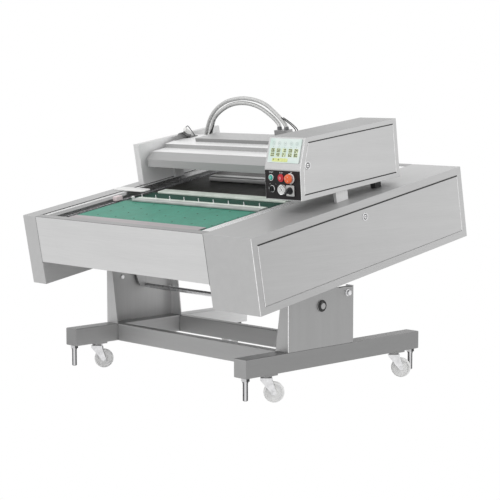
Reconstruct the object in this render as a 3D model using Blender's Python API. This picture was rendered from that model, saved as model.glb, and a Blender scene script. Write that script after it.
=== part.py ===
"""Continuous chamber vacuum packing machine: a tilting belt table on a castered frame.

Units are metres and +Z is up. The operator stands at -Y, at the belt's infeed end.
The table's pieces are placed in the deck frame: Z = 0 is the table's top face, Y = 0 is
the place above the base's centre, and the whole deck turns about the tilt axis.
"""
import math

import bmesh
import bpy
from mathutils import Matrix, Vector

# General
GAP = 0.0003
CLEAR = 0.0055
SHEET = 0.006
EDGE_BREAK = 0.002
CUTTER_REACH = 0.01
SHADING_ANGLE = math.radians(35)

# Base frame
RAIL_INSET = 0.1534
RAIL_WIDTH = 0.074
RAIL_HALF_LENGTH = 0.549
RAIL_HEIGHT = 0.080
RAIL_EDGE = 0.004
CROSS_RAIL_DEPTH = 0.040
FRONT_CROSS_RAIL_SET_BACK = 0.002
REAR_CROSS_RAIL_OVERLAP = 0.0147

# Casters
WHEEL_RADIUS = 0.044
WHEEL_WIDTH = 0.026
WHEEL_RECESS_RADIUS = 0.035
WHEEL_RECESS_DEPTH = 0.006
TREAD_EDGE = 0.006
HUB_RADIUS = 0.013
HUB_LENGTH = 0.0345
AXLE_RADIUS = 0.004
AXLE_NUT_RADIUS = 0.0068
AXLE_NUT_LENGTH = 0.004
CASTER_TRAIL = 0.033
CASTER_YAW = math.radians(45.0)
CASTER_PLATE = 0.070
CASTER_PLATE_THICKNESS = 0.006
CASTER_RACE_RADIUS = 0.021
CASTER_RACE_HEIGHT = 0.009
CASTER_RACE_TAPER = 0.002
FORK_SHEET = 0.003
FORK_INNER = 0.036
FORK_CROWN_HEIGHT = 0.017
FORK_CROWN_RADIUS = 0.024
FORK_LEG_RADIUS = 0.011
FORK_FRONT_DROP = 0.010
FORK_WAIST = 0.013
FORK_WAIST_DROP = 0.022
FORK_REAR_REACH = 0.0276
FORK_REAR_DROP = 0.012
FRONT_CASTER_Y = -0.397
REAR_CASTER_Y = 0.418

# Levelling feet
FOOT_INSET = 0.030
FOOT_Y = 0.524
FOOT_CLEARANCE = 0.024
FOOT_SPINDLE_RADIUS = 0.0115
FOOT_SLEEVE_RADIUS = 0.0135
FOOT_SLEEVE_HEIGHT = 0.006
FOOT_NUT_FLAT = 0.032
FOOT_NUT_HEIGHT = 0.014
FOOT_HOLE_RADIUS = 0.003
FOOT_HOLE_ABOVE_TIP = 0.025

# Columns
COLUMN_FRONT_Y = -0.3026
COLUMN_DEPTH = 0.4043
COLUMN_HEIGHT = 0.2515
COLUMN_SHEET = 0.005
COLUMN_FLANGE_BOTTOM = 0.076
COLUMN_FLANGE_TOP = 0.040
TIE_BAR_RADIUS = 0.011
TIE_BAR_BACK = 0.033
TIE_BAR_DROP = 0.0248

# Tilt axis and brackets
PIVOT_HEIGHT = 0.1805
TABLE_TILT = math.radians(10.1)
SHAFT_RADIUS = 0.014
SHAFT_OVERHANG = 0.006
SHAFT_EDGE = 0.0015
BUSHING_RADIUS = 0.026
BUSHING_THICKNESS = 0.006
BUSHING_TAPER_HEIGHT = 0.0024
BUSHING_FACE_RADIUS = 0.022
CHEEK_THICKNESS = 0.008
CHEEK_CLEARANCE = 0.0085
CHEEK_HALF_WIDTH = 0.070
CHEEK_ROUND_RADIUS = 0.024

# Table
DECK_ABOVE_PIVOT = 0.4343
DECK_BACK_FROM_PIVOT = 0.1116
TABLE_HALF_WIDTH = 0.7534
TABLE_FRONT_Y = -0.6145
TABLE_LENGTH = 1.333
SIDE_BOX_HEIGHT = 0.3222
LEFT_BOX_WIDTH = 0.0957
RIGHT_BOX_WIDTH = 0.2794
END_PANEL_HEIGHT = 0.2143
END_PANEL_LIP = 0.0395
SIDE_EDGE = 0.002
COVER_GROOVE = 0.003
COVER_THICKNESS = 0.003
COVER_MARGIN_Y = 0.031
COVER_MARGIN_TOP = 0.035
COVER_MARGIN_BOTTOM = 0.032
GUIDE_RAIL_LEFT_WIDTH = 0.0404
GUIDE_RAIL_RIGHT_WIDTH = 0.064
GUIDE_RAIL_HEIGHT = 0.036
GUIDE_RAIL_DROP = 0.002
GUIDE_RAIL_CHAMFER_HEIGHT = 0.0126
GUIDE_RAIL_CHAMFER_WIDTH = 0.0076
FLOOR_THICKNESS = 0.006

# Belt, chains and seal bars
BELT_LEFT_SPACE = 0.1177
BELT_RIGHT_SPACE = 0.128
BELT_DROP = 0.020
BELT_THICKNESS = 0.004
ROLLER_RADIUS = 0.030
ROLLER_SHAFT_RADIUS = 0.011
FRONT_ROLLER_INSET = 0.0945
REAR_ROLLER_INSET = 0.0785
CHAIN_WIDTH = 0.024
CHAIN_HEIGHT = 0.010
CHAIN_OFFSET = 0.028
SPROCKET_RADIUS = 0.0227
BED_ROLLER_SPACE = 0.004
INFEED_PLATE_DEPTH = 0.096
INFEED_PLATE_THICKNESS = 0.004
INFEED_PLATE_INSET = 0.014
SEAL_BAR_LEFT_INSET = 0.060
SEAL_BAR_RIGHT_OVERHANG = 0.022
SEAL_BAR_DEPTH = 0.055
SEAL_BAR_HEIGHT = 0.010
SEAL_BAR_EDGE = 0.003
FRONT_SEAL_BAR_Y = -0.1575
SEAL_BAR_PITCH = 0.163
REST_BAR_Y = 0.278
REST_BAR_DEPTH = 0.045
REST_BAR_HEIGHT = 0.026
REST_BAR_EDGE = 0.008
REST_BAR_LEFT_INSET = 0.125

# Side housings, tilted against the deck
HOUSING_TILT = math.radians(-3.03)
HOUSING_FRONT_Y = -0.245
HOUSING_CLEARANCE = 0.060
HOUSING_INNER_SPACE = 0.010
HOUSING_OUTER_INSET = 0.0634
HOUSING_LENGTH = 0.622
HOUSING_HEIGHT = 0.256
HOUSING_KINK_HEIGHT = 0.128
HOUSING_KINK_BACK = 0.006
HOUSING_TOP_BACK = 0.051
HOUSING_COVER_MARGIN = 0.021
RIGHT_POST_INSET = 0.033
RIGHT_POST_THICKNESS = 0.015
RIGHT_POST_FRONT_Y = -0.019
RIGHT_POST_DEPTH = 0.072
REAR_BRACKET_INSET = 0.065
REAR_BRACKET_THICKNESS = 0.029
REAR_BRACKET_DEPTH = 0.036
REAR_BRACKET_REAR_INSET = 0.089
ARM_INNER_SPACE = 0.0027
ARM_THICKNESS = 0.038
ARM_FRONT_Y = 0.045
ARM_LENGTH = 0.537
ARM_HEIGHT = 0.1967
ARM_TOP_DROP = 0.0125
ARM_POST_THICKNESS = 0.0135
ARM_POST_FRONT_Y = 0.240
ARM_POST_DEPTH = 0.056
ARM_POST_HEIGHT = 0.072

# Lid
LID_LEFT_SPACE = 0.0195
LID_FRONT_Y = 0.071
LID_LENGTH = 0.334
LID_SKIRT_BOTTOM = 0.084
LID_SKIRT_HEIGHT = 0.036
LID_BEVEL_DEPTH = 0.036
LID_BEVEL_HEIGHT = 0.032
LID_STEP_BACK = 0.126
LID_STEP_HEIGHT = 0.019
LID_CROWN = 0.004
LID_TRAVEL = 0.075
LID_PIN_RADIUS = 0.010
LID_PIN_Y = 0.345
LID_PIN_Z = 0.130
LID_PIN_DEPTH = 0.013
LID_SLOT_SPACE = 0.001
VALVE_COVER_INSET = 0.1615
VALVE_COVER_FRONT_Y = 0.253
VALVE_COVER_DEPTH = 0.140
VALVE_COVER_HEIGHT = 0.016
LID_BRACKET_LENGTH = 0.110
LID_BRACKET_HEIGHT = 0.030
LID_BRACKET_THICKNESS = 0.006
LID_BRACKET_TOP_START = 0.033
LID_BRACKET_TOP_END = 0.099

# Hoses; the routes run across from the arm's inner face
HOSE_RADIUS = 0.010
HOSE_FLANGE_THICKNESS = 0.0075
HOSE_FLANGE_Y = 0.450
HOSE_FLANGE_Z = 0.118
HOSE_FLANGE_HALF_HEIGHT = 0.034
HOSE_FLANGE_HALF_WIDTH = 0.020
HOSE_MANIFOLD_REACH = 0.688
HOSE_MANIFOLD_Y = 0.350
HOSE_MANIFOLD_LENGTH = 0.080
HOSE_MANIFOLD_DEPTH = 0.040
HOSE_MANIFOLD_HEIGHT = 0.034
OUTER_HOSE_ROUTE = (
    (0.0078, 0.450, 0.1370),
    (0.0150, 0.450, 0.1370),
    (0.0320, 0.450, 0.1470),
    (0.0480, 0.450, 0.1750),
    (0.0680, 0.450, 0.2170),
    (0.1060, 0.445, 0.2620),
    (0.1650, 0.437, 0.3040),
    (0.2450, 0.426, 0.3370),
    (0.3210, 0.414, 0.3530),
    (0.3940, 0.403, 0.3600),
    (0.4650, 0.391, 0.3580),
    (0.5280, 0.380, 0.3490),
    (0.5830, 0.371, 0.3320),
    (0.6320, 0.362, 0.3050),
    (0.6760, 0.353, 0.2780),
    (0.7050, 0.350, 0.2500),
    (0.7110, 0.350, 0.2330),
    (0.7110, 0.350, 0.2256),
)
INNER_HOSE_ROUTE = (
    (0.0078, 0.450, 0.1000),
    (0.0200, 0.450, 0.1000),
    (0.0450, 0.450, 0.1090),
    (0.0690, 0.450, 0.1340),
    (0.0850, 0.448, 0.1800),
    (0.1270, 0.442, 0.2480),
    (0.2000, 0.432, 0.2940),
    (0.2820, 0.420, 0.3230),
    (0.3600, 0.408, 0.3350),
    (0.4400, 0.395, 0.3350),
    (0.5150, 0.382, 0.3220),
    (0.5750, 0.371, 0.3000),
    (0.6280, 0.362, 0.2720),
    (0.6610, 0.354, 0.2480),
    (0.6660, 0.350, 0.2330),
    (0.6660, 0.350, 0.2256),
)

# Operator controls, placed across from the housing's inner face and up its sloping fronts
SCREEN_MARGIN_X = 0.013
SCREEN_BOTTOM = 0.027
SCREEN_HEIGHT = 0.102
SCREEN_THICKNESS = 0.003
SCREEN_CORNER = 0.004
PANEL_MARGIN_X = 0.003
PANEL_BOTTOM = 0.004
PANEL_HEIGHT = 0.119
PANEL_THICKNESS = 0.002
PANEL_CORNER = 0.002
BUTTON_RADIUS = 0.010
BUTTON_STAND_OUT = 0.008
BUTTON_TRAVEL = 0.004
POCKET_DEPTH = 0.012
GREEN_BUTTON_AT = (0.0400, 0.0927)
RED_BUTTON_AT = (0.0965, 0.0926)
STOP_BUTTON_AT = (0.1510, 0.0925)
SELECTOR_AT = (0.0426, 0.0455)
GAUGE_AT = (0.1045, 0.0450)
MAIN_SWITCH_AT = (0.1500, 0.0420)
STOP_HEAD_RADIUS = 0.020
STOP_HEAD_HEIGHT = 0.013
STOP_HEAD_CLEARANCE = 0.010
STOP_HEAD_NECK = 0.001
STOP_HEAD_WIDEST = 0.004
STOP_HEAD_SHOULDER_RADIUS = 0.018
STOP_HEAD_SHOULDER = 0.010
STOP_HEAD_TOP_RADIUS = 0.012
SELECTOR_RADIUS = 0.012
SELECTOR_HEIGHT = 0.014
SELECTOR_BASE_HEIGHT = 0.0056
SELECTOR_GRIP_RADIUS = 0.009
GAUGE_RADIUS = 0.021
GAUGE_HEIGHT = 0.010
GAUGE_EDGE = 0.002
SWITCH_PLATE_SIZE = 0.042
SWITCH_PLATE_HEIGHT = 0.003
SWITCH_PLATE_CORNER = 0.003
MAIN_SWITCH_RADIUS = 0.015
MAIN_SWITCH_HEIGHT = 0.018
MAIN_SWITCH_BASE_HEIGHT = 0.0054
MAIN_SWITCH_GRIP_RADIUS = 0.0105

# Places that follow from the sizes above
RAIL_OUTER_X = TABLE_HALF_WIDTH - RAIL_INSET
RAIL_INNER_X = RAIL_OUTER_X - RAIL_WIDTH
RAIL_X = RAIL_OUTER_X - RAIL_WIDTH / 2
FORK_CROWN_TOP = WHEEL_RADIUS * 2 + FORK_CROWN_HEIGHT
RACE_BOTTOM = FORK_CROWN_TOP + GAP
CASTER_PLATE_BOTTOM = RACE_BOTTOM + CASTER_RACE_HEIGHT
RAIL_BOTTOM = CASTER_PLATE_BOTTOM + CASTER_PLATE_THICKNESS
RAIL_TOP = RAIL_BOTTOM + RAIL_HEIGHT
COLUMN_BOTTOM = RAIL_TOP + GAP
COLUMN_TOP = COLUMN_BOTTOM + COLUMN_HEIGHT
COLUMN_REAR_Y = COLUMN_FRONT_Y + COLUMN_DEPTH
PIVOT_Y = (COLUMN_FRONT_Y + COLUMN_REAR_Y) / 2
PIVOT_Z = RAIL_TOP + PIVOT_HEIGHT
CHEEK_OUTER_X = RAIL_OUTER_X - COLUMN_SHEET - CHEEK_CLEARANCE
CHEEK_INNER_X = CHEEK_OUTER_X - CHEEK_THICKNESS
TABLE_REAR_Y = TABLE_FRONT_Y + TABLE_LENGTH
LEFT_BOX_INNER_X = -TABLE_HALF_WIDTH + LEFT_BOX_WIDTH
RIGHT_BOX_INNER_X = TABLE_HALF_WIDTH - RIGHT_BOX_WIDTH
PANEL_LEFT_X = LEFT_BOX_INNER_X + GAP
PANEL_RIGHT_X = RIGHT_BOX_INNER_X - GAP
BELT_TOP = -BELT_DROP
ROLLER_Z = BELT_TOP - BELT_THICKNESS - ROLLER_RADIUS - GAP
FRONT_ROLLER_Y = TABLE_FRONT_Y + FRONT_ROLLER_INSET
REAR_ROLLER_Y = TABLE_REAR_Y - REAR_ROLLER_INSET
BELT_LEFT_X = LEFT_BOX_INNER_X + BELT_LEFT_SPACE
BELT_RIGHT_X = RIGHT_BOX_INNER_X - BELT_RIGHT_SPACE
CHAIN_LEFT_X = BELT_LEFT_X - CHAIN_OFFSET - CHAIN_WIDTH
HOUSING_INNER_X = RIGHT_BOX_INNER_X + HOUSING_INNER_SPACE
HOUSING_OUTER_X = TABLE_HALF_WIDTH - HOUSING_OUTER_INSET
REAR_BRACKET_FRONT_Y = HOUSING_FRONT_Y + HOUSING_LENGTH - REAR_BRACKET_REAR_INSET - REAR_BRACKET_DEPTH
ARM_INNER_X = LEFT_BOX_INNER_X + ARM_INNER_SPACE
LID_LEFT_X = ARM_INNER_X + LID_LEFT_SPACE
LID_RIGHT_X = HOUSING_INNER_X - CLEAR
LID_TOP_FRONT = LID_SKIRT_BOTTOM + LID_SKIRT_HEIGHT + LID_BEVEL_HEIGHT
LID_TOP = LID_TOP_FRONT + LID_STEP_HEIGHT + LID_CROWN
COVER_SEAT = LID_TOP + GAP

STEEL = ((0.62, 0.62, 0.62), 0.35, 0.9)
DARK_STEEL = ((0.33, 0.33, 0.33), 0.45, 0.85)
BRIGHT_STEEL = ((0.75, 0.75, 0.75), 0.25, 0.95)
ZINC = ((0.66, 0.67, 0.68), 0.32, 0.9)
NYLON = ((0.86, 0.86, 0.84), 0.45, 0.0)
BLACK = ((0.025, 0.025, 0.027), 0.5, 0.0)
BELT_GREEN = ((0.09, 0.36, 0.23), 0.6, 0.0)
PALE_GREEN = ((0.70, 0.78, 0.72), 0.5, 0.0)
HOSE_GREY = ((0.55, 0.55, 0.55), 0.4, 0.7)
SCREEN_MINT = ((0.82, 0.90, 0.84), 0.3, 0.0)
BUTTON_GREEN = ((0.05, 0.50, 0.40), 0.35, 0.0)
BUTTON_RED = ((0.65, 0.02, 0.04), 0.35, 0.0)
STOP_ORANGE = ((0.90, 0.22, 0.05), 0.4, 0.0)
WHITE = ((0.85, 0.85, 0.84), 0.45, 0.0)


def clear_scene():
    """Start from an empty scene."""
    for item in list(bpy.data.objects):
        bpy.data.objects.remove(item, do_unlink=True)


def make_material(name, look):
    """Return one Principled material for one piece."""
    colour, roughness, metallic = look
    material = bpy.data.materials.new(name)
    material.use_nodes = True
    shader = material.node_tree.nodes["Principled BSDF"]
    shader.inputs["Base Color"].default_value = (*colour, 1.0)
    shader.inputs["Roughness"].default_value = roughness
    shader.inputs["Metallic"].default_value = metallic
    material.diffuse_color = (*colour, 1.0)
    return material


def make_empty(name, parent=None, location=(0, 0, 0), rotation=(0, 0, 0)):
    """Return an empty that carries other pieces."""
    empty = bpy.data.objects.new(name, None)
    empty.location = location
    empty.rotation_euler = rotation
    empty.parent = parent
    bpy.context.scene.collection.objects.link(empty)
    return empty


def make_piece(name, mesh_data, look, parent=None, location=(0, 0, 0), rotation=(0, 0, 0), smooth=False):
    """Turn a bmesh into a named object with its own material."""
    bmesh.ops.recalc_face_normals(mesh_data, faces=mesh_data.faces)
    mesh = bpy.data.meshes.new(name)
    mesh_data.to_mesh(mesh)
    mesh_data.free()
    if smooth:
        mesh.shade_smooth()
        mesh.set_sharp_from_angle(angle=SHADING_ANGLE)
    mesh.materials.append(make_material(name, look))
    piece = bpy.data.objects.new(name, mesh)
    piece.location = location
    piece.rotation_euler = rotation
    piece.parent = parent
    bpy.context.scene.collection.objects.link(piece)
    return piece


def combine(target, mesh_data, operation):
    """Cut, join or intersect the target with a second shape in the target's own frame."""
    bmesh.ops.recalc_face_normals(mesh_data, faces=mesh_data.faces)
    mesh = bpy.data.meshes.new(target.name + "_tool")
    mesh_data.to_mesh(mesh)
    mesh_data.free()
    tool = bpy.data.objects.new(mesh.name, mesh)
    tool.location = target.location
    tool.rotation_euler = target.rotation_euler
    tool.parent = target.parent
    tool.hide_render = True
    tool.display_type = "WIRE"
    bpy.context.scene.collection.objects.link(tool)
    modifier = target.modifiers.new(operation.lower(), "BOOLEAN")
    modifier.operation = operation
    modifier.solver = "EXACT"
    modifier.object = tool


def soften(target, width, segments=2):
    """Round the edges of a folded or welded piece."""
    modifier = target.modifiers.new("edges", "BEVEL")
    modifier.width = width
    modifier.segments = segments
    modifier.limit_method = "ANGLE"
    modifier.angle_limit = SHADING_ANGLE


def prism(outline, axis, start, end, holes=()):
    """Extrude a flat outline along X, Y or Z, from start to end."""
    def place(point, along):
        first, second = point
        if axis == "X":
            return (along, first, second)
        if axis == "Y":
            return (first, along, second)
        return (first, second, along)

    mesh_data = bmesh.new()
    near = [mesh_data.verts.new(place(point, start)) for point in outline]
    far = [mesh_data.verts.new(place(point, end)) for point in outline]
    if not holes:
        mesh_data.faces.new(near)
        mesh_data.faces.new(far)
    join_rings(mesh_data, near, far)
    for hole in holes:
        near_hole = [mesh_data.verts.new(place(point, start)) for point in hole]
        far_hole = [mesh_data.verts.new(place(point, end)) for point in hole]
        join_rings(mesh_data, near_hole, far_hole)
        join_rings(mesh_data, near, near_hole)
        join_rings(mesh_data, far, far_hole)
    return mesh_data


def join_rings(mesh_data, first, second):
    """Bridge two rings of equally many vertices with quads."""
    count = len(first)
    for index in range(count):
        following = (index + 1) % count
        mesh_data.faces.new((first[index], first[following], second[following], second[index]))


def box(x_range, y_range, z_range):
    """Return a closed box between three pairs of limits."""
    outline = rectangle(x_range[0], x_range[1], y_range[0], y_range[1])
    return prism(outline, "Z", z_range[0], z_range[1])


def rectangle(left, right, bottom, top):
    """Return the corners of a rectangle."""
    return [(left, bottom), (right, bottom), (right, top), (left, top)]


def arc(centre, radius, start, end, steps):
    """Return points along an arc, with angles in degrees."""
    points = []
    for index in range(steps + 1):
        angle = math.radians(start + (end - start) * index / steps)
        points.append((centre[0] + radius * math.cos(angle), centre[1] + radius * math.sin(angle)))
    return points


def rounded_rectangle(left, right, bottom, top, radius, steps=4):
    """Return a rectangle with rounded corners."""
    points = []
    points += arc((right - radius, top - radius), radius, 0, 90, steps)
    points += arc((left + radius, top - radius), radius, 90, 180, steps)
    points += arc((left + radius, bottom + radius), radius, 180, 270, steps)
    points += arc((right - radius, bottom + radius), radius, 270, 360, steps)
    return points


def polygon_radius(angle, flat, sides):
    """Return the reach of a regular polygon at an angle, from half its width across flats."""
    sector = 2 * math.pi / sides
    inside = (angle + sector / 2) % sector - sector / 2
    return flat / math.cos(inside)


def lathe(stations, steps=32, axis="Z"):
    """Stack rings along an axis. A station is (place, radius) or (place, half width, sides)."""
    mesh_data = bmesh.new()
    rings = []
    for station in stations:
        along, reach = station[0], station[1]
        ring = []
        for index in range(steps):
            angle = 2 * math.pi * index / steps
            radius = reach if len(station) == 2 else polygon_radius(angle, reach, station[2])
            across, up = radius * math.cos(angle), radius * math.sin(angle)
            if axis == "Z":
                ring.append(mesh_data.verts.new((across, up, along)))
            elif axis == "Y":
                ring.append(mesh_data.verts.new((up, along, across)))
            else:
                ring.append(mesh_data.verts.new((along, across, up)))
        rings.append(ring)
    mesh_data.faces.new(rings[0])
    mesh_data.faces.new(rings[-1])
    for first, second in zip(rings, rings[1:]):
        join_rings(mesh_data, first, second)
    return mesh_data


def ring_lathe(stations, steps=32, axis="Z"):
    """Turn a closed profile of (place, radius) points about an axis, leaving a hole through it."""
    mesh_data = bmesh.new()
    rings = []
    for along, radius in stations:
        ring = []
        for index in range(steps):
            angle = 2 * math.pi * index / steps
            across, up = radius * math.cos(angle), radius * math.sin(angle)
            if axis == "Z":
                ring.append(mesh_data.verts.new((across, up, along)))
            elif axis == "Y":
                ring.append(mesh_data.verts.new((up, along, across)))
            else:
                ring.append(mesh_data.verts.new((along, across, up)))
        rings.append(ring)
    for index, ring in enumerate(rings):
        join_rings(mesh_data, ring, rings[(index + 1) % len(rings)])
    return mesh_data


def moved(mesh_data, matrix):
    """Return the bmesh after a transform."""
    bmesh.ops.transform(mesh_data, matrix=matrix, verts=mesh_data.verts)
    return mesh_data


def offset_outline(outline, distance):
    """Move every side of a counter-clockwise outline inwards by a distance."""
    count = len(outline)
    result = []
    for index in range(count):
        before = Vector(outline[index - 1])
        here = Vector(outline[index])
        after = Vector(outline[(index + 1) % count])
        first = (here - before).normalized()
        second = (after - here).normalized()
        inward_first = Vector((-first.y, first.x))
        inward_second = Vector((-second.y, second.x))
        mitre = (inward_first + inward_second) / (1 + inward_first.dot(inward_second))
        moved_point = here + mitre * distance
        result.append((moved_point.x, moved_point.y))
    return result


def build_base(machine):
    """Rails with their caster plates, columns and tie bar."""
    for side, name in ((-1, "left"), (1, "right")):
        limits = sorted((side * RAIL_INNER_X, side * RAIL_OUTER_X))
        body = box(limits, (-RAIL_HALF_LENGTH, RAIL_HALF_LENGTH), (RAIL_BOTTOM, RAIL_TOP))
        rail = make_piece(name + "_rail", body, DARK_STEEL, parent=machine)
        soften(rail, RAIL_EDGE)
        for swivel_y in (FRONT_CASTER_Y, REAR_CASTER_Y):
            place = Matrix.Translation((side * RAIL_X, swivel_y, 0))
            combine(rail, moved(caster_plate(), place), "UNION")
        build_column(side, name, machine)
    reach = RAIL_INNER_X - GAP
    front = COLUMN_FRONT_Y + FRONT_CROSS_RAIL_SET_BACK
    rear = COLUMN_REAR_Y - REAR_CROSS_RAIL_OVERLAP
    for name, start in (("front_cross_rail", front), ("rear_cross_rail", rear)):
        rail = box((-reach, reach), (start, start + CROSS_RAIL_DEPTH), (RAIL_BOTTOM, RAIL_TOP))
        soften(make_piece(name, rail, DARK_STEEL, parent=machine), RAIL_EDGE)
    build_tie_bar(machine)


def caster_plate():
    """A caster's welded top plate with its swivel race below, sunk into the rail to be fused."""
    return lathe(
        (
            (RACE_BOTTOM, CASTER_RACE_RADIUS - CASTER_RACE_TAPER),
            (RACE_BOTTOM + CASTER_RACE_TAPER, CASTER_RACE_RADIUS),
            (CASTER_PLATE_BOTTOM, CASTER_RACE_RADIUS),
            (CASTER_PLATE_BOTTOM, CASTER_PLATE / 2, 4),
            (RAIL_BOTTOM + RAIL_EDGE, CASTER_PLATE / 2, 4),
        )
    )


def build_column(side, name, machine):
    """A folded sheet column, open towards the middle, with flanges that taper upwards."""
    outer = RAIL_OUTER_X
    web = outer - COLUMN_SHEET
    front, rear = COLUMN_FRONT_Y, COLUMN_REAR_Y
    tip = outer - COLUMN_FLANGE_BOTTOM
    outline = [
        (outer, front), (outer, rear), (tip, rear), (tip, rear - COLUMN_SHEET),
        (web, rear - COLUMN_SHEET), (web, front + COLUMN_SHEET), (tip, front + COLUMN_SHEET), (tip, front),
    ]
    column = prism([(side * x, y) for x, y in outline], "Z", COLUMN_BOTTOM, COLUMN_TOP)
    top_tip = outer - COLUMN_FLANGE_TOP
    for vertex in column.verts:
        if abs(vertex.co.x) < web - GAP and vertex.co.z > COLUMN_TOP - GAP:
            vertex.co.x = side * top_tip
    piece = make_piece(name + "_column", column, DARK_STEEL, parent=machine)
    turn = Matrix.Translation((0, PIVOT_Y, PIVOT_Z)) @ Matrix.Diagonal((side, 1, 1, 1))
    boss = lathe(
        (
            (web + COLUMN_SHEET / 2, BUSHING_RADIUS),
            (outer + BUSHING_THICKNESS - BUSHING_TAPER_HEIGHT, BUSHING_RADIUS),
            (outer + BUSHING_THICKNESS, BUSHING_FACE_RADIUS),
        ),
        axis="X",
    )
    combine(piece, moved(boss, turn), "UNION")
    reach = SHAFT_RADIUS + GAP
    far = outer + BUSHING_THICKNESS + CUTTER_REACH
    hole = lathe(((web - CUTTER_REACH, reach), (far, reach)), axis="X")
    combine(piece, moved(hole, turn), "DIFFERENCE")


def build_tie_bar(machine):
    """The round bar that ties the two columns together behind the tilt axis."""
    reach = RAIL_OUTER_X - COLUMN_SHEET - GAP
    place = (0, PIVOT_Y + TIE_BAR_BACK, PIVOT_Z - TIE_BAR_DROP)
    bar = lathe(((-reach, TIE_BAR_RADIUS), (reach, TIE_BAR_RADIUS)), axis="X")
    make_piece("tie_bar", bar, STEEL, parent=machine, location=place, smooth=True)


def build_feet(machine):
    """Four levelling feet under the ends of the rails."""
    nut_bottom = RAIL_BOTTOM - GAP - FOOT_NUT_HEIGHT
    sleeve_bottom = nut_bottom - FOOT_SLEEVE_HEIGHT
    for side, side_name in ((-1, "left"), (1, "right")):
        for end, end_name in ((-1, "front"), (1, "rear")):
            stations = (
                (FOOT_CLEARANCE, FOOT_SPINDLE_RADIUS - EDGE_BREAK),
                (FOOT_CLEARANCE + EDGE_BREAK, FOOT_SPINDLE_RADIUS),
                (sleeve_bottom, FOOT_SPINDLE_RADIUS),
                (sleeve_bottom, FOOT_SLEEVE_RADIUS),
                (nut_bottom, FOOT_SLEEVE_RADIUS),
                (nut_bottom, FOOT_NUT_FLAT / 2, 6),
                (RAIL_BOTTOM - GAP, FOOT_NUT_FLAT / 2, 6),
            )
            name = side_name + "_" + end_name + "_foot"
            place = (side * (RAIL_OUTER_X - FOOT_INSET), end * FOOT_Y, 0)
            foot = make_piece(name, lathe(stations, 24), ZINC, parent=machine, location=place, smooth=True)
            height = FOOT_CLEARANCE + FOOT_HOLE_ABOVE_TIP
            reach = FOOT_SPINDLE_RADIUS + CUTTER_REACH
            hole = lathe(((-reach, FOOT_HOLE_RADIUS), (reach, FOOT_HOLE_RADIUS)), 10, "Y")
            combine(foot, moved(hole, Matrix.Translation((0, 0, height))), "DIFFERENCE")


def build_casters(machine):
    """Four swivel forks and wheels, with the wheels behind the swivel axes."""
    for side, side_name in ((-1, "left"), (1, "right")):
        for swivel_y, end_name in ((FRONT_CASTER_Y, "front"), (REAR_CASTER_Y, "rear")):
            name = side_name + "_" + end_name
            place = (side * RAIL_X, swivel_y, 0)
            swivel = make_empty(name + "_swivel", machine, place, (0, 0, CASTER_YAW))
            build_fork(name, swivel)
            build_wheel(name, swivel)


def build_fork(name, swivel):
    """A pressed fork: an inverted channel cut to the outline of its legs, with the axle bolt."""
    inner, outer = FORK_INNER / 2, FORK_INNER / 2 + FORK_SHEET
    low = WHEEL_RADIUS - FORK_LEG_RADIUS
    channel = [
        (-outer, low), (-inner, low), (-inner, FORK_CROWN_TOP - FORK_SHEET),
        (inner, FORK_CROWN_TOP - FORK_SHEET), (inner, low), (outer, low),
        (outer, FORK_CROWN_TOP), (-outer, FORK_CROWN_TOP),
    ]
    far = CASTER_TRAIL + FORK_LEG_RADIUS + CUTTER_REACH
    raw = prism(channel, "X", -FORK_CROWN_RADIUS - CUTTER_REACH, far)
    fork = make_piece(name + "_fork", raw, ZINC, parent=swivel)
    axle = (CASTER_TRAIL, WHEEL_RADIUS)
    above = FORK_CROWN_TOP + CUTTER_REACH
    legs = [(-FORK_CROWN_RADIUS, above), (-FORK_CROWN_RADIUS, FORK_CROWN_TOP - FORK_FRONT_DROP)]
    legs += [(-FORK_WAIST, FORK_CROWN_TOP - FORK_WAIST_DROP)]
    legs += arc(axle, FORK_LEG_RADIUS, 215, 355, 8)
    legs += [(FORK_REAR_REACH, FORK_CROWN_TOP - FORK_REAR_DROP), (FORK_CROWN_RADIUS, above)]
    combine(fork, prism(legs, "Y", -outer - CUTTER_REACH, outer + CUTTER_REACH), "INTERSECT")
    end = outer + AXLE_NUT_LENGTH
    bolt = lathe(
        (
            (-end, AXLE_NUT_RADIUS, 6), (-inner - FORK_SHEET / 2, AXLE_NUT_RADIUS, 6),
            (-inner - FORK_SHEET / 2, AXLE_RADIUS), (inner + FORK_SHEET / 2, AXLE_RADIUS),
            (inner + FORK_SHEET / 2, AXLE_NUT_RADIUS, 6), (end, AXLE_NUT_RADIUS, 6),
        ),
        24,
        "Y",
    )
    combine(fork, moved(bolt, Matrix.Translation((axle[0], 0, axle[1]))), "UNION")


def build_wheel(name, swivel):
    """A one-piece nylon wheel with recessed sides and a hub."""
    bore = AXLE_RADIUS + GAP
    half, hub = WHEEL_WIDTH / 2, HUB_LENGTH / 2
    rim, recess = WHEEL_RECESS_RADIUS, half - WHEEL_RECESS_DEPTH
    side = [
        (hub, bore), (hub, HUB_RADIUS - EDGE_BREAK), (recess, HUB_RADIUS), (recess, rim - EDGE_BREAK),
        (half, rim), (half, WHEEL_RADIUS - TREAD_EDGE),
        (half - EDGE_BREAK, WHEEL_RADIUS - EDGE_BREAK), (half - TREAD_EDGE, WHEEL_RADIUS),
    ]
    profile = [(-along, radius) for along, radius in side] + list(reversed(side))
    place = (CASTER_TRAIL, 0, WHEEL_RADIUS)
    wheel = ring_lathe(profile, 32, "Y")
    make_piece(name + "_wheel", wheel, NYLON, parent=swivel, location=place, smooth=True)


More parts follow.
